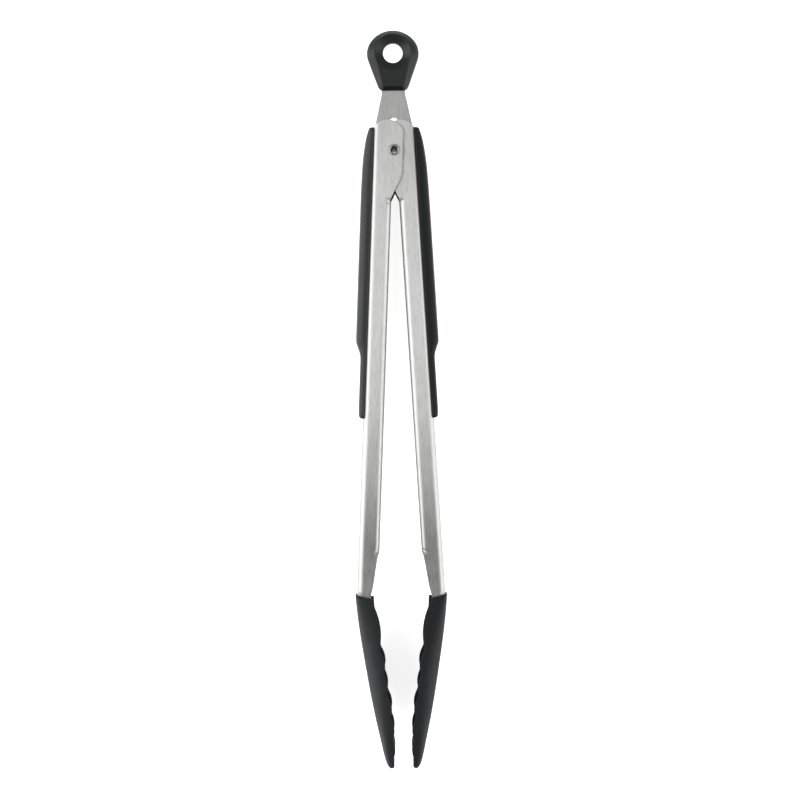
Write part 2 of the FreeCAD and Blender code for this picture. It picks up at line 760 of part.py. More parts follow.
# ----------------------------------------------------------------------- tab
tab = new_body("lock_tab")
half = [
    (D("tongue_half"), D("tab_top")), (D("tongue_half"), D("tab_flare_top")),
    (D("tab_flare_half"), D("tab_flare_low")), (D("tab_wide_half"), D("tab_wide_top")),
    (D("tab_wide_half"), -D("tab_wide_low")), (D("tab_foot_half"), -D("tab_foot")),
]
wire = half + [(-x, y) for (x, y) in half[::-1]]
sk = draw(tab, "lock_tab_outline", "XY", [wire])
pad(tab, "lock_tab_plate", sk, D("tab_thick"))
doc.recompute()
s = D("slot_half")
sk = draw(tab, "lock_tab_slot", "XY", [[
    (s, -D("slot_low")), (s, D("slot_top"), s, True), (-s, D("slot_top")), (-s, -D("slot_low"), s, True)]],
    circles=[(0.0, D("key_hole_along"), D("key_hole"))])
pocket(tab, "lock_tab_holes", sk, q(10.0))
keep(tab, "tab")

# ---------------------------------------------------------------------- loop
loop = new_body("hanging_loop_blank")
# head of the loop as a squat ellipse, drawn with four arcs, then straight flanks
eye = D("eye_along")
sk = draw(loop, "hanging_loop_outline", "XY", [[
    (D("loop_foot_half") - 1.0, D("loop_foot")),
    (D("loop_foot_half") + 0.25, D("loop_foot") + 1.2),
    (D("loop_side_half"), D("loop_side_top"), D("loop_side_round"), True),
    (D("loop_crown_half"), D("loop_crown_low"), D("loop_crown_round"), True),
    (-D("loop_crown_half"), D("loop_crown_low"), D("loop_side_round"), True),
    (-D("loop_side_half"), D("loop_side_top")),
    (-(D("loop_foot_half") + 0.25), D("loop_foot") + 1.2),
    (-(D("loop_foot_half") - 1.0), D("loop_foot")),
]])
base = pad(loop, "hanging_loop_block", sk, D("loop_thick"))
doc.recompute()
hz = VALUES["loop_thick"] / 2


def face_edge(e):
    return all(abs(abs(v.Point.z) - hz) < 1e-4 for v in e.Vertexes) and \
        abs(e.CenterOfMass.z) > hz - 1e-4


rounded = fillet(loop, "hanging_loop_round", base, edges_where(base.Shape, face_edge), D("loop_edge_round"))
sk = draw(loop, "hanging_loop_eye", "XY", [], circles=[(0.0, eye, D("eye_radius"))])
bored = pocket(loop, "hanging_loop_hole", sk, q(30.0))
# dish round the hole on both faces
sk = draw(loop, "hanging_loop_dish_section", "YZ", [
    [(eye, D("loop_thick") / 2 + 0.01), (eye + D("eye_radius") + D("eye_dish"), D("loop_thick") / 2 + 0.01),
     (eye + D("eye_radius") + 0.4, D("loop_thick") / 2 - D("eye_dish_deep")),
     (eye, D("loop_thick") / 2 - D("eye_dish_deep"))],
    [(eye, -(D("loop_thick") / 2 + 0.01)), (eye, -(D("loop_thick") / 2 - D("eye_dish_deep"))),
     (eye + D("eye_radius") + 0.4, -(D("loop_thick") / 2 - D("eye_dish_deep"))),
     (eye + D("eye_radius") + D("eye_dish"), -(D("loop_thick") / 2 + 0.01))]])
axis_line = sk.addGeometry(Part.LineSegment(V(eye.value, -10, 0), V(eye.value, 10, 0)), True)
idx = sk.addConstraint(Sketcher.Constraint("DistanceX", -1, 1, axis_line, 1, eye.value))
sk.renameConstraint(idx, "axis_a")
sk.setExpression("Constraints.axis_a", eye.text)
sk.addConstraint(Sketcher.Constraint("Vertical", axis_line))
before = loop.Shape.Volume
dish = loop.newObject("PartDesign::Groove", "hanging_loop_dish")
dish.Profile = sk
dish.ReferenceAxis = (sk, ["Axis0"])
dish.Angle = 360
doc.recompute()
if not loop.Shape.Volume < before - 50:
    raise RuntimeError("the dish cut nothing")
# the tab's upper end is moulded in, with a rubber plug through its key hole
socket = new_body("hanging_loop_socket")
sk = draw(socket, "hanging_loop_socket_plan", "XY", [[
    (D("tongue_half"), D("tab_flare_top")), (D("tongue_half"), D("tab_top")),
    (-D("tongue_half"), D("tab_top")), (-D("tongue_half"), D("tab_flare_top"))]],
    circles=[(0.0, D("key_hole_along"), D("key_hole"))])
pad(socket, "hanging_loop_socket_block", sk, D("tab_thick"))
doc.recompute()
cut = doc.addObject("Part::Cut", "hanging_loop")
cut.Label = "hanging_loop"
cut.Base = loop
cut.Tool = socket
doc.recompute()
keep(cut, "tab")

# -------------------------------------------------------------------- spring
# Double torsion spring: two coils on the bushes, a bridge that bears on the
# right arm's back, and two free legs that bear on the left arm's back.


def spring_wire():
    r, rc = VALUES["wire_radius"], VALUES["coil_radius"]
    zi, zo = VALUES["coil_inner"], VALUES["coil_outer"]
    ang = math.radians(VALUES["arm_angle"])
    inside = VALUES["back_out"] - VALUES["sheet_thick"]

    def back_x(along):
        return inside / math.cos(ang) + along * math.tan(ang)
    yl, yr = VALUES["left_foot_along"], VALUES["right_foot_along"]
    pl = V(-(back_x(yl) - r - 0.06), -yl, zo)
    pr = V(back_x(yr) - r - 0.06, -yr, zi)
    # tangent points, seen along the pivot
    dl, dr = math.hypot(pl.x, pl.y), math.hypot(pr.x, pr.y)
    al = math.atan2(pl.y, pl.x) - math.acos(rc / dl)
    ar = math.atan2(pr.y, pr.x) + math.acos(rc / dr)
    al = al % (2 * math.pi)
    ar = ar % (2 * math.pi)
    turn = (al - ar) % (2 * math.pi) + 3 * 2 * math.pi      # clockwise, going inwards
    tl = V(rc * math.cos(al), rc * math.sin(al), zo)
    tr = V(rc * math.cos(ar), rc * math.sin(ar), zi)
    # pieces of one half, from the left foot to the bridge
    leg = Part.LineSegment(pl, tl).toShape()
    pitch = (zo - zi) / (turn / (2 * math.pi))
    helix = Part.makeHelix(pitch, zo - zi, rc)
    # makeHelix climbs counter-clockwise from angle 0: it ends where the left
    # leg joins when its start is turned to the right leg's angle
    helix.Placement = FreeCAD.Placement(V(0, 0, zi), FreeCAD.Rotation(V(0, 0, 1), math.degrees(ar)))
    along_r = (pr - tr)
    along_r.normalize()
    bend = 2.2
    corner = pr
    before_bend = corner - along_r * bend
    leg_r = Part.LineSegment(tr, before_bend).toShape()
    after_bend = V(corner.x, corner.y, zi - bend)
    # quarter bend between the leg and the bridge
    d1 = along_r
    d2 = V(0, 0, -1)
    centre = before_bend + d2 * bend
    mid = centre + (d1 - d2) * (bend / math.sqrt(2))
    quarter = Part.Arc(before_bend, mid, after_bend).toShape()
    return pl, leg, helix, leg_r, quarter, after_bend, pr


pl, leg, helix, leg_r, quarter, after_bend, pr = spring_wire()
wr = VALUES["wire_radius"]


leg_dir = (leg.Vertexes[-1].Point - leg.Vertexes[0].Point)
half_edges = [leg.Edges[0]] + helix.Edges + [leg_r.Edges[0], quarter.Edges[0]]
lower = [e.mirror(V(0, 0, 0), V(0, 0, 1)) for e in half_edges]
bridge = Part.LineSegment(after_bend, V(after_bend.x, after_bend.y, -after_bend.z)).toShape()
all_edges = half_edges + [bridge] + [e for e in lower]
sorted_edges = Part.__sortEdges__(all_edges)
path = Part.Wire(sorted_edges)
prof = Part.Wire([Part.makeCircle(wr, pl, leg_dir)])
spring_shape = path.makePipeShell([prof], True, True)
if spring_shape.ShapeType != "Solid":
    spring_shape = spring_shape.Solids[0] if spring_shape.Solids else Part.makeSolid(spring_shape)
expected = math.pi * wr * wr * path.Length
print("spring path %.2f mm, volume %.2f, expected %.2f, valid %s" % (
    path.Length, spring_shape.Volume, expected, spring_shape.isValid()))
if abs(spring_shape.Volume - expected) > 0.03 * expected:
    raise RuntimeError("the spring's volume is wrong")
spring = doc.addObject("Part::Feature", "torsion_spring")
spring.Label = "torsion_spring"
spring.Shape = spring_shape
keep(spring, "pivot")

# -------------------------------------------------------------- placing it all
angle = VALUES["arm_angle"]
origin = V(0, VALUES["pivot_to_centre"], VALUES["pivot_height"])
PLACES = {
    "pivot": FreeCAD.Placement(origin, FreeCAD.Rotation()),
    "tab": FreeCAD.Placement(origin, FreeCAD.Rotation()),
    "right_arm": FreeCAD.Placement(origin, FreeCAD.Rotation(V(0, 0, 1), angle)),
    "left_arm": FreeCAD.Placement(
        origin, FreeCAD.Rotation(V(0, 0, 1), -angle).multiply(FreeCAD.Rotation(V(0, 1, 0), 180))),
}
for obj, body_name in SUBPARTS:
    obj.Placement = PLACES[body_name]
doc.recompute()

bad = []
for obj in doc.Objects:
    if "Invalid" in obj.State or "Error" in obj.State:
        bad.append(obj.Name + " " + ",".join(obj.State))
for obj, _ in SUBPARTS:
    if obj.Shape.isNull() or not obj.Shape.isValid() or not obj.Shape.Solids:
        bad.append("shape of " + obj.Label)
if bad:
    raise RuntimeError("failed: " + "; ".join(bad))

os.makedirs("parts", exist_ok=True)
total = None
for obj, body_name in SUBPARTS:
    shape = obj.Shape
    shape.exportStep(os.path.join("parts", obj.Label + ".step"))
    bb = shape.BoundBox
    total = bb if total is None else total.united(bb)
    print("%-22s %-9s vol %9.1f  solids %d  x %.2f..%.2f  y %.2f..%.2f  z %.2f..%.2f" % (
        obj.Label, body_name, shape.Volume, len(shape.Solids),
        bb.XMin, bb.XMax, bb.YMin, bb.YMax, bb.ZMin, bb.ZMax))
print("whole: x %.3f..%.3f  y %.3f..%.3f  z %.3f..%.3f" % (
    total.XMin, total.XMax, total.YMin, total.YMax, total.ZMin, total.ZMax))
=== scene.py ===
import json
import math

import bmesh
import bpy
from mathutils import Matrix, Vector


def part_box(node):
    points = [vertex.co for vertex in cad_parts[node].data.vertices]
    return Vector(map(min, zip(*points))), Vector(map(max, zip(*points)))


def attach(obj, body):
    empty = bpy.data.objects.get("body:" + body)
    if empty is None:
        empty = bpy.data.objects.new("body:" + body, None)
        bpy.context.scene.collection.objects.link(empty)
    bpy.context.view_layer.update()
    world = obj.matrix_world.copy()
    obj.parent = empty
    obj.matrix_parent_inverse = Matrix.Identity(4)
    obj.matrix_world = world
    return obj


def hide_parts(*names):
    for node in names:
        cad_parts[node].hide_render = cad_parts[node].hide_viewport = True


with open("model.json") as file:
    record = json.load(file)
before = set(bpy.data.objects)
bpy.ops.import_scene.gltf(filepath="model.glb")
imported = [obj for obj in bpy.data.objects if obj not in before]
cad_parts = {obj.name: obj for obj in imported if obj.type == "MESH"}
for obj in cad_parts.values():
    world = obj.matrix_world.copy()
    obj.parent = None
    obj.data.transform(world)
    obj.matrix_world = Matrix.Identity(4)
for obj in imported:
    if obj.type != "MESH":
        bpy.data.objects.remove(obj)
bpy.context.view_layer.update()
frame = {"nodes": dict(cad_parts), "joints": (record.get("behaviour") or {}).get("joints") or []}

MM = 0.001
scene = bpy.context.scene

# ------------------------------------------------------------------ the frame
PIVOT = Vector([j for j in frame["joints"] if j["name"] == "left_arm_swing"][0]["pos_m"])
ARM_ANGLE = math.radians(2.8)          # each arm from the middle line at rest
ARM_BODY = {"left": "left_arm", "right": "right_arm"}
WIDTH = {"left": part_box("left_arm"), "right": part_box("right_arm")}
HALF = {s: (b[1].z - b[0].z) / 2 / MM for s, b in WIDTH.items()}   # half the channel's width, mm


def arm_matrix(side):
    """Arm frame (mm: x outwards, y up the arm, z along the pivot) to the row frame (m)."""
    if side == "right":
        rot = Matrix.Rotation(ARM_ANGLE, 4, "Z")
    else:
        rot = Matrix.Rotation(-ARM_ANGLE, 4, "Z") @ Matrix.Rotation(math.pi, 4, "Y")
    return Matrix.Translation(PIVOT) @ rot @ Matrix.Scale(MM, 4)


MID = Matrix.Translation(PIVOT) @ Matrix.Scale(MM, 4)   # pivot frame, mm


# --------------------------------------------------------------- mesh helpers
def to_object(name, bm, matrix, body, flip=False):
    bm.transform(matrix)
    bmesh.ops.remove_doubles(bm, verts=bm.verts, dist=1e-7)
    bmesh.ops.recalc_face_normals(bm, faces=bm.faces)
    me = bpy.data.meshes.new(name)
    bm.to_mesh(me)
    bm.free()
    for p in me.polygons:
        p.use_smooth = True
    ob = bpy.data.objects.new(name, me)
    scene.collection.objects.link(ob)
    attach(ob, body)
    return ob


def loft(rings, cap_first=None, cap_last=None, closed=True):
    """Quads between rings of equal length. A cap is a list of index pairs joined across, or 'fan'."""
    bm = bmesh.new()
    vs = [[bm.verts.new(p) for p in ring] for ring in rings]
    n = len(rings[0])
    last = n if closed else n - 1
    for a, b in zip(vs, vs[1:]):
        for i in range(last):
            j = (i + 1) % n
            bm.faces.new((a[i], a[j], b[j], b[i]))
    for cap, ring in ((cap_first, vs[0]), (cap_last, vs[-1])):
        if cap == "fan":
            c = bm.verts.new(sum((v.co for v in ring), Vector()) / n)
            for i in range(n):
                bm.faces.new((ring[i], ring[(i + 1) % n], c))
        elif cap:
            for (i0, j0), (i1, j1) in zip(cap, cap[1:]):
                quad = [ring[i0], ring[i1]]
                if j1 != i1:
                    quad.append(ring[j1])
                if j0 != i0 and j0 != j1:
                    quad.append(ring[j0])
                if len(quad) >= 3:
                    bm.faces.new(quad)
    return bm


def bake_modifiers(ob):
    """Applies the modifiers, so that the mesh is final."""
    dg = bpy.context.evaluated_depsgraph_get()
    me = bpy.data.meshes.new_from_object(ob.evaluated_get(dg))
    old = ob.data
    ob.modifiers.clear()
    ob.data = me
    me.name = ob.name
    if old.users == 0:
        bpy.data.meshes.remove(old)
    return ob


def soften(ob, width, angle=40, segments=2):
    m = ob.modifiers.new("edge", "BEVEL")
    m.width = width * MM
    m.segments = segments
    m.limit_method = "ANGLE"
    m.angle_limit = math.radians(angle)
    m.use_clamp_overlap = True
    m.harden_normals = False
    w = ob.modifiers.new("normals", "WEIGHTED_NORMAL")
    w.keep_sharp = True
    w.weight = 60
    return ob


def subdivide(ob, levels=1):
    m = ob.modifiers.new("subdivision", "SUBSURF")
    m.levels = m.render_levels = levels
    m.subdivision_type = "CATMULL_CLARK"
    return ob


def lerp(a, b, t):
    return a + (b - a) * t


def smooth(t):
    t = max(0.0, min(1.0, t))
    return t * t * (3 - 2 * t)


def table(points, v):
    """Monotone smooth interpolation through (key, value...) rows."""
    if v <= points[0][0]:
        return list(points[0][1:])
    if v >= points[-1][0]:
        return list(points[-1][1:])
    for k in range(len(points) - 1):
        a, b = points[k], points[k + 1]
        if v <= b[0]:
            h = b[0] - a[0]
            t = (v - a[0]) / h
            before = points[k - 1] if k else a
            after = points[k + 2] if k + 2 < len(points) else b
            out = []
            for c in range(1, len(a)):
                d = (b[c] - a[c]) / h
                d0 = (a[c] - before[c]) / (a[0] - before[0]) if k else d
                d1 = (after[c] - b[c]) / (after[0] - b[0]) if k + 2 < len(points) else d
                m0 = 0 if d0 * d <= 0 else 2 * d0 * d / (d0 + d)
                m1 = 0 if d1 * d <= 0 else 2 * d1 * d / (d1 + d)
                t2, t3 = t * t, t * t * t
                out.append((2 * t3 - 3 * t2 + 1) * a[c] + (t3 - 2 * t2 + t) * h * m0
                           + (-2 * t3 + 3 * t2) * b[c] + (t3 - t2) * h * m1)
            return out


# ------------------------------------------------------------------ materials
def new_material(name):
    m = bpy.data.materials.new(name)
    m.use_nodes = True
    nt = m.node_tree
    for n in list(nt.nodes):
        nt.nodes.remove(n)
    out = nt.nodes.new("ShaderNodeOutputMaterial")
    bsdf = nt.nodes.new("ShaderNodeBsdfPrincipled")
    nt.links.new(bsdf.outputs["BSDF"], out.inputs["Surface"])
    return m, nt, bsdf


def coords(nt, scale=(1, 1, 1), angle=0.0):
    """Row-frame coordinates, turned about Z so that Y runs along the piece."""
    tc = nt.nodes.new("ShaderNodeTexCoord")
    turn = nt.nodes.new("ShaderNodeMapping")
    turn.vector_type = "POINT"
    turn.inputs["Rotation"].default_value = (0, 0, angle)
    nt.links.new(tc.outputs["Object"], turn.inputs["Vector"])
    sc = nt.nodes.new("ShaderNodeMapping")
    sc.inputs["Scale"].default_value = scale
    nt.links.new(turn.outputs["Vector"], sc.inputs["Vector"])
    return sc.outputs["Vector"]


def noise(nt, vec, scale, detail=4.0, rough=0.55, distortion=0.0):
    n = nt.nodes.new("ShaderNodeTexNoise")
    n.inputs["Scale"].default_value = scale
    n.inputs["Detail"].default_value = detail
    n.inputs["Roughness"].default_value = rough
    n.inputs["Distortion"].default_value = distortion
    nt.links.new(vec, n.inputs["Vector"])
    return n.outputs["Fac"]


def ramp(nt, fac, stops):
    r = nt.nodes.new("ShaderNodeValToRGB")
    el = r.color_ramp.elements
    while len(el) > 1:
        el.remove(el[-1])
    el[0].position, el[0].color = stops[0][0], (*stops[0][1], 1)
    for pos, col in stops[1:]:
        e = el.new(pos)
        e.color = (*col, 1)
    nt.links.new(fac, r.inputs["Fac"])
    return r.outputs["Color"]


def grey(v):
    return (v, v, v)


def mix(nt, a, b, fac, kind="MIX"):
    m = nt.nodes.new("ShaderNodeMix")
    m.data_type = "RGBA"
    m.blend_type = kind
    for sock, val in ((m.inputs[6], a), (m.inputs[7], b), (m.inputs[0], fac)):
        if isinstance(val, bpy.types.NodeSocket):
            nt.links.new(val, sock)
        elif isinstance(val, tuple):
            sock.default_value = (*val, 1)
        else:
            sock.default_value = val
    return m.outputs[2]


def to_range(nt, fac, lo, hi, a=0.0, b=1.0):
    m = nt.nodes.new("ShaderNodeMapRange")
    m.inputs["From Min"].default_value = a
    m.inputs["From Max"].default_value = b
    m.inputs["To Min"].default_value = lo
    m.inputs["To Max"].default_value = hi
    nt.links.new(fac, m.inputs["Value"])
    return m.outputs["Result"]


def bump(nt, bsdf, height, strength, distance_mm, below=None):
    b = nt.nodes.new("ShaderNodeBump")
    b.inputs["Strength"].default_value = strength
    b.inputs["Distance"].default_value = distance_mm * MM
    nt.links.new(height, b.inputs["Height"])
    if below is not None:
        nt.links.new(below, b.inputs["Normal"])
    nt.links.new(b.outputs["Normal"], bsdf.inputs["Normal"])
    return b.outputs["Normal"]


def brushed(name, angle, base=0.400, rough=(0.33, 0.43), fine=1.0):
    """Stainless sheet brushed along the piece, with painted shade on its flat faces."""
    m, nt, bsdf = new_material(name)
    bsdf.inputs["Metallic"].default_value = 0.90
    bsdf.inputs["Anisotropic"].default_value = 0.75
    tan = nt.nodes.new("ShaderNodeTangent")
    tan.direction_type = "RADIAL"
    tan.axis = "Y"
    nt.links.new(tan.outputs["Tangent"], bsdf.inputs["Tangent"])
    hair = noise(nt, coords(nt, (5200, 260, 5200), angle), 1.0, 3.0, 0.62)
    lines = noise(nt, coords(nt, (2100, 170, 2100), angle), 1.0, 3.0, 0.6)
    specks = noise(nt, coords(nt, (2600, 620, 2600), angle), 1.0, 4.0, 0.7)
    cloud = noise(nt, coords(nt, (60, 14, 60), angle), 1.0, 3.0, 0.5)
    tone = ramp(nt, lines, [(0.30, (base * 0.86, base * 0.86, base * 0.845)),
                            (0.50, (base, base, base * 0.985)),
                            (0.72, (base * 1.10, base * 1.10, base * 1.09))])
    fleck = ramp(nt, specks, [(0.33, grey(0.80)), (0.47, grey(1.0)), (0.66, grey(1.0)), (0.80, grey(1.10))])
    tone = mix(nt, tone, fleck, 0.75, "MULTIPLY")
    patch = ramp(nt, cloud, [(0.3, grey(0.93)), (0.7, grey(1.05))])
    tone = mix(nt, tone, patch, 0.8, "MULTIPLY")
    split = nt.nodes.new("ShaderNodeSeparateXYZ")            # painted shade: flat-lying steel is coloured darker towards the heads, and a little towards the ears' tops
    nt.links.new(coords(nt), split.inputs["Vector"])
    painted_shade_along_arm = ramp(nt, to_range(nt, split.outputs["Y"], 0.0, 1.0, -0.10, 0.13), [(0.0, grey(0.50)), (0.075, grey(0.50)), (0.15, grey(0.47)), (0.27, grey(0.74)), (0.42, grey(0.95)),
                                                                                        (0.58, grey(1.0)), (0.80, grey(0.90)), (1.0, grey(0.84))])
    facing = nt.nodes.new("ShaderNodeSeparateXYZ")           # the painted shade goes only on faces lying flat; the rolled edges and bends keep their bright reflections
    tc = nt.nodes.new("ShaderNodeTexCoord")
    nt.links.new(tc.outputs["Normal"], facing.inputs["Vector"])
    level = nt.nodes.new("ShaderNodeMath")
    level.operation = "ABSOLUTE"
    nt.links.new(facing.outputs["Z"], level.inputs[0])
    flat = to_range(nt, level.outputs[0], 0.0, 1.0, 0.86, 0.99)
    # painted shade mixed into the colour of the flat faces
    tone = mix(nt, tone, mix(nt, tone, painted_shade_along_arm, 1.0, "MULTIPLY"), flat)
    nt.links.new(tone, bsdf.inputs["Base Color"])
    nt.links.new(to_range(nt, lines, rough[0], rough[1], 0.25, 0.75), bsdf.inputs["Roughness"])
    first = bump(nt, bsdf, hair, 0.20 * fine, 0.030)
    bump(nt, bsdf, specks, 0.12 * fine, 0.020, first)
    return m


def rubber(name, base, light, rough, angle=0.0, grain=1.0, sheen=0.10, shine=0.34):
    """Moulded elastomer: matt skin, fine grain, faint cloudy wear."""
    m, nt, bsdf = new_material(name)
    bsdf.inputs["Specular IOR Level"].default_value = shine
    bsdf.inputs["Sheen Weight"].default_value = sheen
    bsdf.inputs["Sheen Roughness"].default_value = 0.45
    cloud = noise(nt, coords(nt, (70, 34, 70), angle), 1.0, 4.0, 0.6)
    dust = noise(nt, coords(nt, (900, 800, 900), angle), 1.0, 3.0, 0.6)
    skin = noise(nt, coords(nt, (4200, 4200, 4200), angle), 1.0, 2.0, 0.5)
    tone = ramp(nt, cloud, [(0.30, base), (0.72, light)])
    dots = ramp(nt, dust, [(0.52, grey(0.0)), (0.83, grey(1.0))])
    tone = mix(nt, tone, tuple(c * 1.9 for c in light), to_range(nt, dots, 0.0, 0.30))
    nt.links.new(tone, bsdf.inputs["Base Color"])
    nt.links.new(to_range(nt, cloud, rough - 0.05, rough + 0.07, 0.3, 0.7), bsdf.inputs["Roughness"])
    first = bump(nt, bsdf, skin, 0.28 * grain, 0.030)
    bump(nt, bsdf, dust, 0.18 * grain, 0.040, first)
    return m


def plain_metal(name, base, rough, scale=1400):
    """Turned or drawn bright metal."""
    m, nt, bsdf = new_material(name)
    bsdf.inputs["Metallic"].default_value = 1.0
    n = noise(nt, coords(nt, (scale, scale, scale)), 1.0, 3.0, 0.6)
    nt.links.new(ramp(nt, n, [(0.3, tuple(c * 0.85 for c in base)), (0.7, base)]), bsdf.inputs["Base Color"])
    nt.links.new(to_range(nt, n, rough - 0.06, rough + 0.08, 0.3, 0.7), bsdf.inputs["Roughness"])
    bump(nt, bsdf, n, 0.15, 0.02)
    return m


def nylon(name, base, rough=0.45):
    m, nt, bsdf = new_material(name)
    n = noise(nt, coords(nt, (700, 700, 700)), 1.0, 4.0, 0.6)
    nt.links.new(ramp(nt, n, [(0.3, tuple(c * 0.9 for c in base)), (0.7, base)]), bsdf.inputs["Base Color"])
    nt.links.new(to_range(nt, n, rough - 0.05, rough + 0.08, 0.3, 0.7), bsdf.inputs["Roughness"])
    bump(nt, bsdf, n, 0.12, 0.03)
    return m


# the tab's steel gets a darker base than the arms' steel: painted shade where the tab lies below the ears
STEEL = {"right": brushed("brushed_steel_right", -ARM_ANGLE), "left": brushed("brushed_steel_left", ARM_ANGLE),
         "tab": brushed("brushed_steel_tab_painted_shade", 0.0, 0.285, (0.36, 0.46))}
RIVET = plain_metal("rivet_steel", (0.25, 0.25, 0.247), 0.33)
# near-black metal for the rivet's bore: painted shade inside the hollow rivet
BORE_PAINTED_SHADE = plain_metal("rivet_bore", (0.10, 0.10, 0.10), 0.42)
WIRE = plain_metal("spring_wire", (0.46, 0.46, 0.45), 0.28, 900)
# lit and shaded copies of one grip rubber: the left is lighter and shinier as painted light, the right darker and
# duller as painted shade
GRIP = {"left": rubber("grip_rubber_left_painted_light", (0.0082, 0.0092, 0.0092), (0.0125, 0.0140, 0.0140), 0.42, sheen=0.0, shine=0.30),
        "right": rubber("grip_rubber_right_painted_shade", (0.0056, 0.0062, 0.0062), (0.0085, 0.0095, 0.0095), 0.50, sheen=0.0, shine=0.11)}
# lit and shaded copies of one silicone: the left head lighter and shinier as painted light, the right darker as painted
# shade
SILICONE = {"left": rubber("head_silicone_left_painted_light", (0.0122, 0.0143, 0.0149), (0.0171, 0.0197, 0.0204), 0.58, grain=0.8, sheen=0.0, shine=0.09),
            "right": rubber("head_silicone_right_painted_shade", (0.0104, 0.0119, 0.0124), (0.0151, 0.0172, 0.0178), 0.60, grain=0.8, sheen=0.0, shine=0.05)}
LOOPR = rubber("loop_rubber", (0.0052, 0.0058, 0.0059), (0.0076, 0.0085, 0.0087), 0.38, sheen=0.0, shine=0.25)
DARK = nylon("dark_nylon", (0.035, 0.035, 0.037))
PALE = nylon("pale_nylon", (0.68, 0.67, 0.62), 0.38)
PAINTED_SHADE_NYLON = nylon("pale_nylon_painted_shade", (0.30, 0.30, 0.29), 0.42)      # washers: pale nylon given a grey base as painted shade between the arms


def paint(ob, mat):
    ob.data.materials.clear()
    ob.data.materials.append(mat)


# ----------------------------------------------------------------------- arms
BACK = 10.6          # outside of the channel's back
BEND = 3.0           # outside radius of the channel's bends
EDGE = 0.8           # inner edge of the side walls
SHEET = 0.9
NECK = 9.5           # half width at the head
EAR_R = 7.9


def half_width(side, a):
    """Half the channel's width at a distance a below the pivot."""
    if a < 30:
        return HALF[side]
    if a > 203:
        return NECK
    t = (a - 30) / 173.0
    return lerp(HALF[side], NECK, t)


_p1, _p2 = Vector((-3.9, 9.0)), Vector((BACK, 9.6))
_mid, _chord = (_p1 + _p2) / 2, (_p2 - _p1)
_down = Vector((_chord.y, -_chord.x)).normalized()
EAR_C = _mid + _down * math.sqrt(EAR_R ** 2 - (_chord.length / 2) ** 2)


def ear_top(x):
    return EAR_C.y + math.sqrt(max(0.0, EAR_R ** 2 - (x - EAR_C.x) ** 2))


LIP_R = 2.3          # rolled inner edge


def inner_edge(a):
    """x of the wall's inner edge."""
    return table([(11.9, -3.9), (22.8, EDGE), (189.0, EDGE), (190.8, 1.35), (207.0, 3.45), (211.4, 4.9)], a)[0] \
        if a > 22.8 or a < 11.9 else lerp(-3.9, EDGE, (a - 11.9) / 10.9)


def lip_share(a):
    """How far the inner edge is rolled in: 0 flat, 1 rolled."""
    return smooth((a - 22.6) / 3.2) * (1 - smooth((a - 187.6) / 2.4))


def arm_rows(side):
    """Rings of the outside surface from the ears' tops to the drawn lower end."""
    rows = []
    # ears: rows spread between the round top and the start of the slanted edge
    for t in (1.0, 0.985, 0.95, 0.88, 0.76, 0.6, 0.42, 0.22, 0.08):
        rows.append(("ear", t))
    for a in (11.9, 12.3, 13.4, 15.6, 18.0, 20.4, 22.0, 22.6, 22.9, 23.3, 23.9, 24.6, 25.3, 26.0, 27.5, 30.0, 33.0):
        rows.append(("run", a))
    a = 42.0
    while a < 184:
        rows.append(("run", a))
        a += 9.0
    for a in (184.5, 186.5, 187.6, 188.2, 188.8, 189.4, 190.0, 190.6, 191.4, 193.0, 195.5, 198.0, 200.0):
        rows.append(("run", a))
    return rows


def arm_ring(side, kind, v, ztop=None):
    """Half ring (z >= 0): lip, wall, bend, back to the middle."""
    if kind == "ear":
        a_for = 11.0
    else:
        a_for = v
    w = half_width(side, a_for)
    xe = -3.9 if kind == "ear" else inner_edge(a_for)
    pts = []
    share = 0.0 if kind == "ear" else lip_share(a_for)
    # developed distance from the free edge, for the rolled part
    length = 0.55 + LIP_R * math.pi / 2
    steps = [0.0, 0.55] + [0.55 + LIP_R * math.pi / 2 * k / 6 for k in range(1, 7)]
    for s in steps:
        # flat version
        fx, fz = xe + s, w
        # rolled version
        if s <= 0.55:
            rx, rz = xe, w - LIP_R - (0.55 - s)
        else:
            th = (s - 0.55) / LIP_R
            rx, rz = xe + LIP_R - LIP_R * math.cos(th), w - LIP_R + LIP_R * math.sin(th)
        pts.append((lerp(fx, rx, share), lerp(fz, rz, share)))
    x_start = pts[-1][0]
    x_end = BACK - BEND
    for k in range(1, 7):
        pts.append((lerp(x_start, x_end, k / 7), w))
    for k in range(0, 9):
        th = math.pi / 2 * k / 8
        pts.append((BACK - BEND + BEND * math.sin(th), w - BEND + BEND * math.cos(th)))
    for k in (0.75, 0.5, 0.25, 0.0):
        pts.append((BACK, (w - BEND) * k))
    out = []
    for x, z in pts:
        if kind == "ear":
            top = ear_top(min(x, BACK))
            y = lerp(-11.9, top, v)
        else:
            y = -v
        out.append(Vector((x, y, z)))
    return out


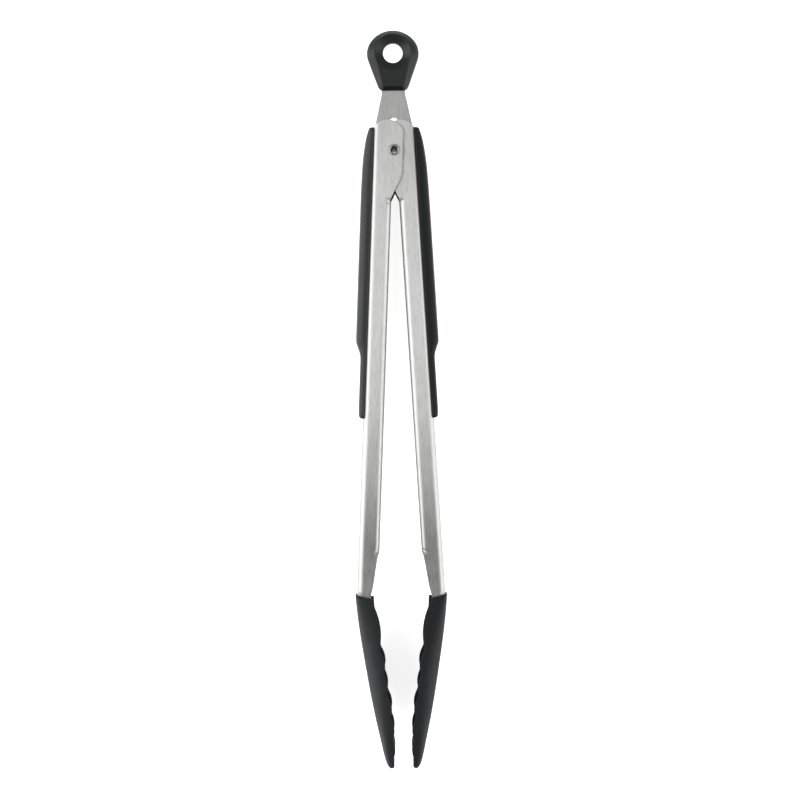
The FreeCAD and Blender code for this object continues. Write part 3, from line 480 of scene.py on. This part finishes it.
def drawn_end(side):
    """Rings beyond a = 200: the wall's outer border swings inwards and closes the channel."""
    rings = []
    w = NECK
    n_lip = 8
    x_flat = BACK - BEND
    start, rho = 207.6, 3.0
    path = [(0.0, x_flat, -a, lerp(200.0, start, (a - 200.0) / (start - 200.0))) for a in (201.5, 203.0, 204.4, 205.5, 206.3, start)]
    for k in range(1, 9):
        th = math.pi / 2 * k / 8
        path.append((th, x_flat - rho + rho * math.cos(th), -start - rho * math.sin(th), lerp(start, 209.9, k / 8)))
    path.append((math.pi / 2, x_flat - rho - 0.25, -start - rho, 210.2))
    path.append((math.pi / 2, x_flat - rho - 0.5, -start - rho, 210.4))
    for th, wx, wy, a_edge in path:
        nx, ny = math.cos(th), -math.sin(th)
        roll = lerp(BEND, 1.6, smooth(th / (math.pi / 2)))
        bx, by = wx + nx * BEND, wy + ny * roll
        ex, ey = inner_edge(a_edge), -a_edge
        pts = []
        for k in range(n_lip):
            s = k / (n_lip + 6)
            pts.append(Vector((lerp(ex, wx, s), lerp(ey, wy, s), w)))
        for k in range(1, 7):
            s = (n_lip - 1) / (n_lip + 6) + (1 - (n_lip - 1) / (n_lip + 6)) * k / 7
            pts.append(Vector((lerp(ex, wx, s), lerp(ey, wy, s), w)))
        for k in range(0, 9):
            ph = math.pi / 2 * k / 8
            pts.append(Vector((lerp(wx, bx, math.sin(ph)), lerp(wy, by, math.sin(ph)), w - BEND + BEND * math.cos(ph))))
        for k in (0.75, 0.5, 0.25, 0.0):
            pts.append(Vector((bx, by, (w - BEND) * k)))
        rings.append(pts)
    return rings


def thicken(rings, thick, outward):
    """A closed sheet: the rings' surface, and its copy a thickness further in."""
    bm = loft(rings, closed=False)
    bm.normal_update()
    bm.faces.ensure_lookup_table()
    ref = min(bm.faces, key=lambda f: (f.calc_center_median() - outward[0]).length)
    if ref.normal.dot(outward[1]) < 0:
        bmesh.ops.reverse_faces(bm, faces=bm.faces)
        bm.normal_update()
    verts = list(bm.verts)
    edges = [e for e in bm.edges if e.is_boundary]
    inner = {v: bm.verts.new(v.co - v.normal * thick) for v in verts}
    for f in list(bm.faces):
        bm.faces.new([inner[v] for v in reversed(f.verts)])
    for e in edges:
        f = e.link_faces[0]
        u, v = e.verts
        order = list(f.verts)
        i = order.index(u)
        if order[(i + 1) % len(order)] is v:
            u, v = v, u
        bm.faces.new((u, v, inner[v], inner[u]))
    return bm


def build_arm(side):
    half = [arm_ring(side, kind, v) for kind, v in arm_rows(side)] + drawn_end(side)
    rings = []
    for ring in half:
        other = [Vector((p.x, p.y, -p.z)) for p in ring[:-1]][::-1]
        rings.append(ring + other)
    bm = thicken(rings, SHEET, (Vector((BACK, -100.0, 0.0)), Vector((1, 0, 0))))
    ob = to_object(side + "_arm_channel", bm, arm_matrix(side), ARM_BODY[side])
    b = ob.modifiers.new("edge", "BEVEL")
    b.width = 0.18 * MM
    b.segments = 2
    b.limit_method = "ANGLE"
    b.angle_limit = math.radians(55)
    b.use_clamp_overlap = True
    bake_modifiers(ob)
    # hole for the rivet through both ears
    cut = bmesh.new()
    bmesh.ops.create_cone(cut, cap_ends=True, segments=64, radius1=2.05, radius2=2.05, depth=60)
    cut.transform(MID)
    cme = bpy.data.meshes.new("rivet_cutter")
    cut.to_mesh(cme)
    cut.free()
    cutter = bpy.data.objects.new("rivet_cutter", cme)
    scene.collection.objects.link(cutter)
    bo = ob.modifiers.new("hole", "BOOLEAN")
    bo.operation = "DIFFERENCE"
    bo.solver = "EXACT"
    bo.object = cutter
    bpy.context.view_layer.update()
    bake_modifiers(ob)
    bpy.data.objects.remove(cutter)
    bpy.data.meshes.remove(cme)
    for p in ob.data.polygons:
        p.use_smooth = True
    ob.data.set_sharp_from_angle(angle=math.radians(38))
    paint(ob, STEEL[side])
    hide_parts(side + "_arm")
    # the strip that goes on into the head
    rings = []
    for a, out, hw in ((196.0, BACK - 0.02, 6.6), (204.0, BACK - 0.02, 6.6), (209.0, BACK - 0.05, 6.5),
                       (213.6, BACK - 0.1, 6.4), (219.0, 9.2, 6.4), (225.5, 8.0, 6.3), (231.5, 6.9, 6.2)):
        t0, t1 = out - SHEET * 0.95, out
        e = 0.12
        rings.append([Vector((t1, -a, -hw + e)), Vector((t1, -a, 0)), Vector((t1, -a, hw - e)), Vector((t1 - e, -a, hw)),
                      Vector((t0 + e, -a, hw)), Vector((t0, -a, hw - e)), Vector((t0, -a, 0)), Vector((t0, -a, -hw + e)),
                      Vector((t0 + e, -a, -hw)), Vector((t1 - e, -a, -hw))])
    bm = loft(rings, "fan", "fan")
    tongue = to_object(side + "_arm_tongue", bm, arm_matrix(side), ARM_BODY[side])
    tongue.data.set_sharp_from_angle(angle=math.radians(35))
    paint(tongue, STEEL[side])
    return ob


# ---------------------------------------------------------------------- grips
GRIP_TOP, GRIP_END = 10.3, 126.6


def grip_out(a):
    """Outside of the grip, by distance below the pivot."""
    return table([(-10.3, 11.9), (-9.6, 12.55), (-8.2, 12.95), (-5.0, 13.75), (0.0, 14.45), (6.0, 14.92), (20.0, 15.25), (89.0, 15.25),
                  (90.6, 15.18), (92.4, 14.6), (95.6, 13.3), (97.6, 12.92), (99.4, 12.85),
                  (123.0, 12.85), (125.2, 12.72), (126.2, 12.35), (126.6, 11.7)], a)[0]


def build_grip(side):
    lap = BACK - 0.9
    drop = BEND - math.sqrt(BEND ** 2 - (BEND - 0.9) ** 2)      # the bend's height where the rubber's edge lies on it
    stations = [-10.3, -10.22, -10.0, -9.6, -9.0, -8.0, -6.5, -4.5, -2.0, 1.0, 5.0, 10.0, 17.0, 26.0, 36.0, 46.0, 56.0, 66.0, 76.0, 84.0, 88.0,
                89.6, 90.6, 91.4, 92.4, 93.6, 94.8, 95.8, 96.8, 97.8, 99.0, 101.0, 106.0, 112.0, 118.0, 122.5, 124.6, 125.6, 126.2, 126.5, 126.6]
    rings = []
    n_out = 0
    for a in stations:
        w = half_width(side, a)
        xo = grip_out(a)
        # the ends round over in width too
        end = min(a + GRIP_TOP, GRIP_END - a)
        shrink = 1.1 * (1 - math.sqrt(max(0.0, 1 - (1 - min(1.0, end / 1.1)) ** 2)))
        ww = w + 0.05 - shrink
        rad = min(3.3, (xo - lap) * 0.72)
        crown = 0.35 if xo > 14 else 0.22
        outer = []
        outer.append((lap, w - drop + 0.03 - shrink * 0.4))
        outer.append((lap + 0.08, ww - drop + 0.30))
        outer.append((lap + 0.38, ww - 0.16))
        outer.append((lap + 0.95, ww))
        side_end = xo - crown - rad
        for k in (0.45, 0.9):
            outer.append((lerp(lap + 0.95, max(side_end, lap + 1.0), k), ww - 0.02 * k))
        for k in range(0, 8):
            th = math.pi / 2 * k / 7
            outer.append((max(side_end, lap + 1.0) + (xo - crown - max(side_end, lap + 1.0)) * math.sin(th), ww - rad + rad * math.cos(th)))
        for z in (0.75, 0.5, 0.25):
            outer.append((xo - crown * z * z, (ww - rad) * z))
        outer.append((xo, 0.0))
        # against the channel: the bend, then the back
        inner = [(lap + 0.02, w - drop - 0.12)]
        for k in range(1, 6):
            th = math.acos((BEND - drop - 0.12) / BEND)
            ph = lerp(th, math.pi / 2, k / 5)
            inner.append((BACK - BEND + (BEND + 0.02) * math.sin(ph), w - BEND + (BEND + 0.02) * math.cos(ph)))
        for z in (0.6, 0.3):
            inner.append((BACK + 0.02, (w - BEND) * z))
        inner.append((BACK + 0.02, 0.0))
        full_out = [Vector((x, -a, z)) for x, z in outer] + [Vector((x, -a, -z)) for x, z in outer[:-1]][::-1]
        full_in = [Vector((x, -a, z)) for x, z in inner] + [Vector((x, -a, -z)) for x, z in inner[:-1]][::-1]
        n_out, n_in = len(full_out), len(full_in)
        rings.append(full_out + full_in[::-1])
    # caps join the outer line to the inner line
    n = n_out + n_in
    pairs = []
    for i in range(n_out):
        j = round(i * (n_in - 1) / (n_out - 1))
        pairs.append((i, n - 1 - j))
    bm = loft(rings, pairs, pairs)
    ob = to_object(side + "_grip_pad", bm, arm_matrix(side), ARM_BODY[side])
    subdivide(ob, 1)
    bake_modifiers(ob)
    for p in ob.data.polygons:
        p.use_smooth = True
    paint(ob, GRIP[side])
    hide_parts(side + "_grip")
    return ob


# ---------------------------------------------------------------------- heads
HEAD = [(209.6, 11.6, 11.4, 1.3), (217.0, 10.6, 12.6, 2.6), (226.0, 9.1, 15.2, 4.2), (236.0, 7.15, 17.7, 5.4), (246.0, 5.05, 18.5, 5.8),
        (257.0, 2.65, 17.9, 5.2), (268.0, 0.0, 16.2, 4.0), (279.0, -2.95, 13.6, 2.6), (287.0, -5.15, 11.2, 1.6), (291.6, -6.9, 8.6, 1.0)]
RIM = [(209.6, 2.75), (216.6, 2.2), (235.0, -1.15), (246.0, -3.3), (255.5, -5.2), (266.0, -7.2), (276.5, -8.6), (286.0, -9.2), (292.6, -9.6)]
LOBE = [0, 34.0, 11.5, 12.3, 11.3, 11.9, 11.3, 12.0]


def rim_raw(a):
    """Rim of the scoop: round lobes that meet in valleys."""
    if a <= RIM[0][0]:
        return RIM[0][1]
    for k in range(len(RIM) - 1):
        (a0, x0), (a1, x1) = RIM[k], RIM[k + 1]
        if a <= a1:
            t = (a - a0) / (a1 - a0)
            x = lerp(x0, x1, t)
            r = LOBE[k]
            if r:
                c = math.hypot(a1 - a0, x1 - x0) / 2
                d = (2 * t - 1) * c
                x -= math.sqrt(max(0.0, r * r - d * d)) - math.sqrt(max(0.0, r * r - c * c))
            return x
    return RIM[-1][1]


def rim_line(a):
    """The same, with the valleys rounded a little."""
    k = [(-0.9, 1), (-0.45, 2), (0, 3), (0.45, 2), (0.9, 1)]
    return sum(rim_raw(a + d) * w for d, w in k) / sum(w for _, w in k)


def build_head(side):
    tip = 290.9
    slant = 1.55                 # the mouth's front and back lips stand lower than its sides
    stations = [209.6, 209.72, 210.0, 210.5, 211.2, 212.2, 213.2, 213.75, 214.0, 214.6, 215.6]
    a = 216.6
    while a < 283.0:
        stations.append(a)
        a += 0.95
    stations += [283.6, 284.6, 285.6, 286.6, 287.6, 288.5, 289.3, 289.7, 289.95, 290.15, 290.35, 290.5, 290.65, 290.78, 290.86, tip]
    rings = []
    for a in stations:
        b, h, f = table(HEAD, min(a, 291.6))
        r = rim_line(min(a, 291.9))
        # rounded ends
        e_top = max(0.0, 1 - (a - 209.6) / 0.9)
        e_tip = max(0.0, (a - 288.9) / (tip - 288.9))
        pull = 0.45 * (1 - math.sqrt(max(0.0, 1 - e_top * e_top)))
        close = 1 - math.sqrt(max(0.0, 1 - e_tip ** 2.2))
        thick = b - r
        midx = (b + r) / 2
        b = lerp(b, midx + 0.5, close) - pull
        r = lerp(r, midx - 0.5, close)
        h = h * (1 - 0.30 * close) - pull
        f = f * (1 - 0.8 * close)
        thick = b - r
        rho = min(lerp(3.4, 4.2, smooth((a - 214.0) / 18.0)), 0.46 * thick)
        flank = max(0.0, thick - f)
        # outside, from the +z rim to the middle of the back
        lip = min(0.75, 0.22 * thick)
        outer = [(r, h - 0.30 - lip * 1.1), (r + lip * 0.12, h - 0.28 - lip * 0.45), (r + lip * 0.5, h - 0.26 - lip * 0.1), (r + lip * 1.15, h - 0.22)]
        corner_x, corner_z = b - f, h
        p0 = Vector((max(r + lip * 1.4, corner_x - rho), h - 0.03))
        z1 = h - rho * 1.15
        p2 = Vector((b - f * (z1 / h) ** 2, z1))
        pc = Vector((b - f * (0.985) ** 2, h))
        start = Vector(outer[-1])
        for k in (0.4, 0.8):
            q_ = start.lerp(p0, k)
            outer.append((q_.x, q_.y))
        for k in range(0, 7):
            t = k / 6
            q_ = p0 * (1 - t) ** 2 + pc * 2 * t * (1 - t) + p2 * t * t
            outer.append((q_.x, q_.y))
        for k in (0.88, 0.76, 0.64, 0.52, 0.40, 0.28, 0.16, 0.08):
            z = z1 * k / 0.96
            outer.append((b - f * (z / h) ** 2, z))
        outer.append((b, 0.0))
        # inside: socket for the channel's end, then the scoop
        if a < 213.9:
            hi = NECK + 0.05
            bi = BACK + 0.03
            inner = []
            for k in range(0, 8):
                inner.append((lerp(r + 0.25, bi - 2.2, k / 7), hi))
            for k in range(1, 7):
                th = math.pi / 2 * k / 6
                inner.append((bi - 2.2 + 2.2 * math.sin(th), hi - 2.2 + 2.2 * math.cos(th)))
            for k in (0.75, 0.5, 0.25, 0.0):
                inner.append((bi, (hi - 2.2) * k))
        else:
            grow = smooth((a - 213.9) / 3.0)
            wall = lerp(1.9, 2.7, grow)
            floor_wall = lerp(4.6, 4.3, smooth((a - 214) / 40))
            deep = 1 - smooth((a - 272.0) / 12.5)
            hi = h - wall
            zi = hi
            fi = f * (hi / h) ** 2
            floor = b - floor_wall
            depth = max(0.0, floor - r)
            inner = []
            # a bowl: steep sides, flat floor, its depth running out at the tip
            for k in range(0, 18):
                s = k / 17
                z = zi * (1 - s ** 1.25)
                u = z / zi
                prof = (1 - u ** 5.0)
                x = r + (0.10 + (depth - fi * u * u * 0.55) * prof * deep)
                if k == 0:
                    x = r + 0.22
                inner.append((max(x, r + 0.05) if k else x, z))
        fade = slant * (1 - smooth((a - 209.6) / 9.0))

        def at(x, z):
            return Vector((x, -a - fade * smooth((abs(z) - 5.5) / 4.5), z))
        full_out = [at(x, z) for x, z in outer] + [at(x, -z) for x, z in outer[:-1]][::-1]
        full_in = [at(x, z) for x, z in inner] + [at(x, -z) for x, z in inner[:-1]][::-1]
        rings.append(full_out + full_in[::-1])
        n_out, n_in = len(full_out), len(full_in)
    n = n_out + n_in
    pairs = [(i, n - 1 - round(i * (n_in - 1) / (n_out - 1))) for i in range(n_out)]
    bm = loft(rings, pairs, pairs)
    ob = to_object(side + "_head_scoop", bm, arm_matrix(side), ARM_BODY[side])
    subdivide(ob, 1)
    bake_modifiers(ob)
    for p in ob.data.polygons:
        p.use_smooth = True
    paint(ob, SILICONE[side])
    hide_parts(side + "_head")
    return ob


# ----------------------------------------------------------------------- loop
def loop_outline(count=144):
    """Distance from the eye's centre to the outline, by angle."""
    eye = Vector((0, 46.8))
    # crown arc, side arcs and flanks, as in the rubber's mould
    pts = []

    def arc(p, q_, r, steps):
        m = (p + q_) / 2
        d = q_ - p
        n = Vector((-d.y, d.x)).normalized()
        c = m + n * math.sqrt(max(0, r * r - (d.length / 2) ** 2))
        a0 = math.atan2(p.y - c.y, p.x - c.x)
        a1 = math.atan2(q_.y - c.y, q_.x - c.x)
        if a1 < a0:
            a1 += 2 * math.pi
        return [Vector((c.x + r * math.cos(lerp(a0, a1, k / steps)), c.y + r * math.sin(lerp(a0, a1, k / steps)))) for k in range(steps + 1)]
    right = [Vector((5.75, 29.1)), Vector((6.6, 29.45)), Vector((7.0, 30.3)), Vector((11.6, 43.0))]
    side = arc(Vector((11.6, 43.0)), Vector((9.94, 53.0)), 9.8, 10)
    crown = arc(Vector((9.94, 53.0)), Vector((-9.94, 53.0)), 13.04, 24)
    half = right + side[1:] + crown[1:13]
    poly = half + [Vector((-p.x, p.y)) for p in half[:-1]][::-1]
    out = []
    for k in range(count):
        th = -math.pi / 2 + 2 * math.pi * k / count
        d = Vector((math.cos(th), math.sin(th)))
        best = None
        for i in range(len(poly)):
            p, q_ = poly[i] - eye, poly[(i + 1) % len(poly)] - eye
            e = q_ - p
            den = d.x * e.y - d.y * e.x
            if abs(den) < 1e-9:
                continue
            t = (p.x * e.y - p.y * e.x) / den
            s = (p.x * d.y - p.y * d.x) / den
            if t > 0 and -1e-6 <= s <= 1 + 1e-6:
                best = t if best is None else max(best, t)
        out.append(best)
    # soften the corners of the outline a little
    for _ in range(2):
        out = [(out[k - 1] + 2 * out[k] + out[(k + 1) % count]) / 4 for k in range(count)]
    return eye, out


def build_loop():
    eye, radii = loop_outline()
    count = len(radii)
    rings = []
    H = 4.5
    for k in range(count):
        th = -math.pi / 2 + 2 * math.pi * k / count
        R = radii[k]
        off = abs((math.degrees(th) + 90 + 180) % 360 - 180)
        rr = lerp(1.8, 3.7, smooth((off - 16) / 8))   # width of the sloping flank, narrow at the foot
        top = []
        top += [(4.62, 0.0), (4.62, 1.0), (4.66, 1.9), (4.80, 2.28), (5.12, 2.46), (5.6, 2.62), (6.4, 3.02), (7.3, 3.62), (7.95, 4.10)]
        crest = 8.55
        top += [(lerp(7.95, crest, 0.6), 4.42), (crest, 4.50)]
        flat_end = max(R - rr, crest + 0.05)
        for t in (0.12, 0.3, 0.5, 0.7, 0.9, 1.0):
            top.append((lerp(crest + 0.02, flat_end, t), 4.5))
        for q_, z in ((0.05, 4.47), (0.12, 4.36), (0.40, 3.66), (0.68, 2.92), (0.82, 2.50), (0.93, 1.95), (1.0, 1.25)):
            top.append((flat_end + (R - flat_end) * q_, z))
        top.append((R + 0.02, 0.9))
        top.append((R + 0.03, 0.0))
        ring = [(r, z) for r, z in top] + [(r, -z) for r, z in top[1:-1]][::-1]
        rings.append([Vector((eye.x + r * math.cos(th), eye.y + r * math.sin(th), z)) for r, z in ring])
    bm = bmesh.new()
    vs = [[bm.verts.new(p) for p in ring] for ring in rings]
    n = len(rings[0])
    for i in range(count):
        a, b = vs[i], vs[(i + 1) % count]
        for j in range(n):
            bm.faces.new((a[j], a[(j + 1) % n], b[(j + 1) % n], b[j]))
    ob = to_object("hanging_loop_rubber", bm, MID, "tab")
    subdivide(ob, 1)
    bake_modifiers(ob)
    for p in ob.data.polygons:
        p.use_smooth = True
    paint(ob, LOOPR)
    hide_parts("hanging_loop")
    return ob


# ---------------------------------------------------------------------- rivet
def build_rivet():
    face = HALF["left"] + 0.05
    prof = [(1.45, -(face + 0.86)), (1.58, -(face + 0.9)), (2.6, -(face + 0.9)), (3.05, -(face + 0.82)), (3.32, -(face + 0.58)), (3.4, -(face + 0.28)),
            (3.38, -(face + 0.02)), (2.0, -(face + 0.0)), (2.0, face), (2.45, face + 0.01), (2.60, face + 0.08), (2.65, face + 0.20), (2.60, face + 0.34),
            (2.45, face + 0.46), (2.22, face + 0.53), (1.98, face + 0.53), (1.76, face + 0.44), (1.60, face + 0.26), (1.50, face + 0.02), (1.45, face - 0.5),
            (1.45, face - 3), (1.45, 0), (1.45, -face + 3)]
    count = 64
    rings = []
    for k in range(count):
        th = 2 * math.pi * k / count
        rings.append([Vector((r * math.cos(th), r * math.sin(th), z)) for r, z in prof])
    bm = bmesh.new()
    vs = [[bm.verts.new(p) for p in ring] for ring in rings]
    n = len(prof)
    for i in range(count):
        a, b = vs[i], vs[(i + 1) % count]
        for j in range(n):
            bm.faces.new((a[j], a[(j + 1) % n], b[(j + 1) % n], b[j]))
    ob = to_object("rivet_tube", bm, MID, "pivot")
    ob.data.set_sharp_from_angle(angle=math.radians(50))
    paint(ob, RIVET)
    # the faces inside the bore get the near-black metal as painted shade
    ob.data.materials.append(BORE_PAINTED_SHADE)
    for f in ob.data.polygons:
        if all(math.hypot(ob.data.vertices[i].co.x - PIVOT.x, ob.data.vertices[i].co.y - PIVOT.y) < 1.53 * MM for i in f.vertices):
            f.material_index = 1
    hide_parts("pivot_rivet")
    return ob


# --------------------------------------------------------------------- spring
def tube_along(name, pts, r, body, sides=14):
    """A round wire along points in the pivot frame (mm), its ends closed."""
    pts = [Vector(p) for p in pts]
    rings = []
    up = None
    for i, p in enumerate(pts):
        d = (pts[min(i + 1, len(pts) - 1)] - pts[max(i - 1, 0)]).normalized()
        if up is None:
            up = d.orthogonal().normalized()
        up = (up - d * up.dot(d)).normalized()
        side = d.cross(up)
        rings.append([p + (up * math.cos(2 * math.pi * k / sides) + side * math.sin(2 * math.pi * k / sides)) * r for k in range(sides)])
    bm = loft(rings, "fan", "fan")
    ob = to_object(name, bm, MID, body)
    ob.data.set_sharp_from_angle(angle=math.radians(50))
    paint(ob, WIRE)
    return ob


def build_spring():
    r, rc, zi, zo = 0.7, 4.6, 2.4, 8.2
    inside = BACK - SHEET

    def back_x(along):
        return inside / math.cos(ARM_ANGLE) + along * math.tan(ARM_ANGLE)
    yl, yr = 24.0, 26.5
    pl = Vector((-(back_x(yl) - r - 0.06), -yl, zo))
    pr = Vector((back_x(yr) - r - 0.06, -yr, zi))
    al = (math.atan2(pl.y, pl.x) - math.acos(rc / math.hypot(pl.x, pl.y))) % (2 * math.pi)
    ar = (math.atan2(pr.y, pr.x) + math.acos(rc / math.hypot(pr.x, pr.y))) % (2 * math.pi)
    turn = (al - ar) % (2 * math.pi) + 6 * math.pi
    for s in (1, -1):
        coil = []
        for k in range(161):
            t = k / 160
            a = ar + turn * t
            coil.append((rc * math.cos(a), rc * math.sin(a), s * lerp(zi, zo, t)))
        name = "front" if s > 0 else "back"
        tube_along("spring_coil_" + name, coil, r, "pivot")
        tl = Vector((rc * math.cos(al), rc * math.sin(al), s * zo))
        end = Vector((pl.x, pl.y, s * zo))
        d = (end - tl).normalized()
        tube_along("spring_left_leg_" + name, [tl, tl.lerp(end, 0.5), end - d * 0.3], r * 0.995, "left_arm")
    # the right legs and the bridge between them are one wire
    tr = Vector((rc * math.cos(ar), rc * math.sin(ar), zi))
    d = (pr - tr).normalized()
    b0 = pr - d * 2.2
    path = [tr, tr.lerp(b0, 0.5), b0]
    centre = b0 + Vector((0, 0, -2.2))
    for k in range(1, 8):
        th = math.pi / 2 * k / 7
        path.append(centre + Vector((0, 0, 2.2)) * math.cos(th) + d * 2.2 * math.sin(th))
    back = [Vector((p.x, p.y, -p.z)) for p in path][::-1]
    tube_along("spring_bridge", path + back, r * 0.995, "right_arm")
    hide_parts("torsion_spring")


for s in ("left", "right"):
    build_arm(s)
    build_grip(s)
    build_head(s)
build_loop()
build_rivet()
build_spring()

# -------------------------------------------------- CAD nodes that stay shown
LOOKS = {"lock_tab": STEEL["tab"]}
for s in ("left", "right"):
    LOOKS[s + "_grip_anchor"] = DARK
    LOOKS[s + "_head_core"] = DARK
    LOOKS[s + "_head_rivets"] = RIVET
for n in ("front_spacer_bush", "back_spacer_bush"):
    LOOKS[n] = PALE
# the thrust washers get the greyed nylon: painted shade
for n in ("front_thrust_washer", "back_thrust_washer"):
    LOOKS[n] = PAINTED_SHADE_NYLON
for n, mat in LOOKS.items():
    ob = frame["nodes"][n]
    for i in range(max(1, len(ob.material_slots))):
        if ob.material_slots:
            ob.material_slots[i].material = mat
        else:
            ob.data.materials.append(mat)
soften(frame["nodes"]["lock_tab"], 0.16)

# ---------------------------------------------------------------- floor, light
CENTRE = Vector((0.0006, -0.0005, 0.0))
LIE = math.atan2(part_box("pivot_rivet")[0].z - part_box("left_head")[0].z, PIVOT.y + 0.129)   # the handle lies a little lower than level


def build_floor():
    bm = bmesh.new()
    size, n = 14.0, 56
    vs = []
    for i in range(n + 1):
        row = []
        for j in range(n + 1):
            x, y = lerp(-size, size, i / n), lerp(-size, size, j / n)
            row.append(bm.verts.new((x, y, (y + 0.129) * math.tan(LIE) - 0.00005)))
        vs.append(row)
    for i in range(n):
        for j in range(n):
            bm.faces.new((vs[i][j], vs[i + 1][j], vs[i + 1][j + 1], vs[i][j + 1]))
    me = bpy.data.meshes.new("studio_floor")
    bm.to_mesh(me)
    bm.free()
    ob = bpy.data.objects.new("studio_floor", me)
    scene.collection.objects.link(ob)
    m, nt, bsdf = new_material("floor_paper")
    n1 = noise(nt, coords(nt, (7, 7, 7)), 1.0, 3.0, 0.5)
    nt.links.new(ramp(nt, n1, [(0.3, (0.885, 0.885, 0.883)), (0.7, (0.905, 0.905, 0.903))]), bsdf.inputs["Base Color"])
    bsdf.inputs["Roughness"].default_value = 0.8
    bsdf.inputs["Specular IOR Level"].default_value = 0.15
    bsdf.inputs["Emission Color"].default_value = (1, 1, 1, 1)      # a light table, so shadows stay faint
    bsdf.inputs["Emission Strength"].default_value = 0.72
    me.materials.append(m)
    return ob


build_floor()


def area(name, loc, aim, size, power, colour=(1, 1, 1)):
    l = bpy.data.lights.new(name, "AREA")
    l.shape = "RECTANGLE"
    l.size, l.size_y = size
    l.energy = power
    l.color = colour
    o = bpy.data.objects.new(name, l)
    scene.collection.objects.link(o)
    o.location = loc
    o.rotation_euler = (Vector(aim) - Vector(loc)).to_track_quat("-Z", "Y").to_euler()
    return o


area("soft_left", (-1.25, 0.18, 0.78), (0, 0.18, 0), (1.1, 2.4), 26.0)
area("soft_right", (1.25, -0.20, 0.78), (0, -0.20, 0), (1.0, 1.9), 13.0)
area("soft_top", (0.0, 0.55, 1.95), (0.0, 0.55, 0.0), (1.7, 1.3), 7.0)

world = bpy.data.worlds.new("studio")
scene.world = world
world.use_nodes = True
wnt = world.node_tree
for n in list(wnt.nodes):
    wnt.nodes.remove(n)
wout = wnt.nodes.new("ShaderNodeOutputWorld")
wbg = wnt.nodes.new("ShaderNodeBackground")
wtc = wnt.nodes.new("ShaderNodeTexCoord")
wsep = wnt.nodes.new("ShaderNodeSeparateXYZ")
wnt.links.new(wtc.outputs["Generated"], wsep.inputs["Vector"])
wramp = wnt.nodes.new("ShaderNodeValToRGB")
el = wramp.color_ramp.elements
el[0].position, el[0].color = 0.0, (1.05, 1.05, 1.05, 1)
el[1].position, el[1].color = 1.0, (0.12, 0.12, 0.123, 1)
e = el.new(0.12)
e.color = (0.90, 0.90, 0.90, 1)
e = el.new(0.55)
e.color = (0.68, 0.68, 0.68, 1)
e = el.new(0.80)
e.color = (0.56, 0.56, 0.56, 1)
e = el.new(0.93)
e.color = (0.20, 0.20, 0.203, 1)
wnt.links.new(wsep.outputs["Z"], wramp.inputs["Fac"])
wnt.links.new(wramp.outputs["Color"], wbg.inputs["Color"])
wbg.inputs["Strength"].default_value = 1.0
wnt.links.new(wbg.outputs["Background"], wout.inputs["Surface"])

scene.view_settings.view_transform = "Standard"
scene.view_settings.look = "None"
scene.view_settings.exposure = 0.0
scene.view_settings.gamma = 1.0

# --------------------------------------------------------------------- camera
cam = bpy.data.cameras.new("camera")
cam.sensor_width = 36.0
VIEW_WIDTH = 0.3790            # metres across the picture, at the arms' mid height
AWAY = 1.2
cam.lens = 36.0 * AWAY / VIEW_WIDTH
cam.clip_start, cam.clip_end = 0.05, 20
co = bpy.data.objects.new("camera", cam)
scene.collection.objects.link(co)
co.location = (CENTRE.x + 0.00024, CENTRE.y + 0.0002, PIVOT.z + AWAY)
co.rotation_euler = (0, 0, math.radians(-0.9))
scene.camera = co
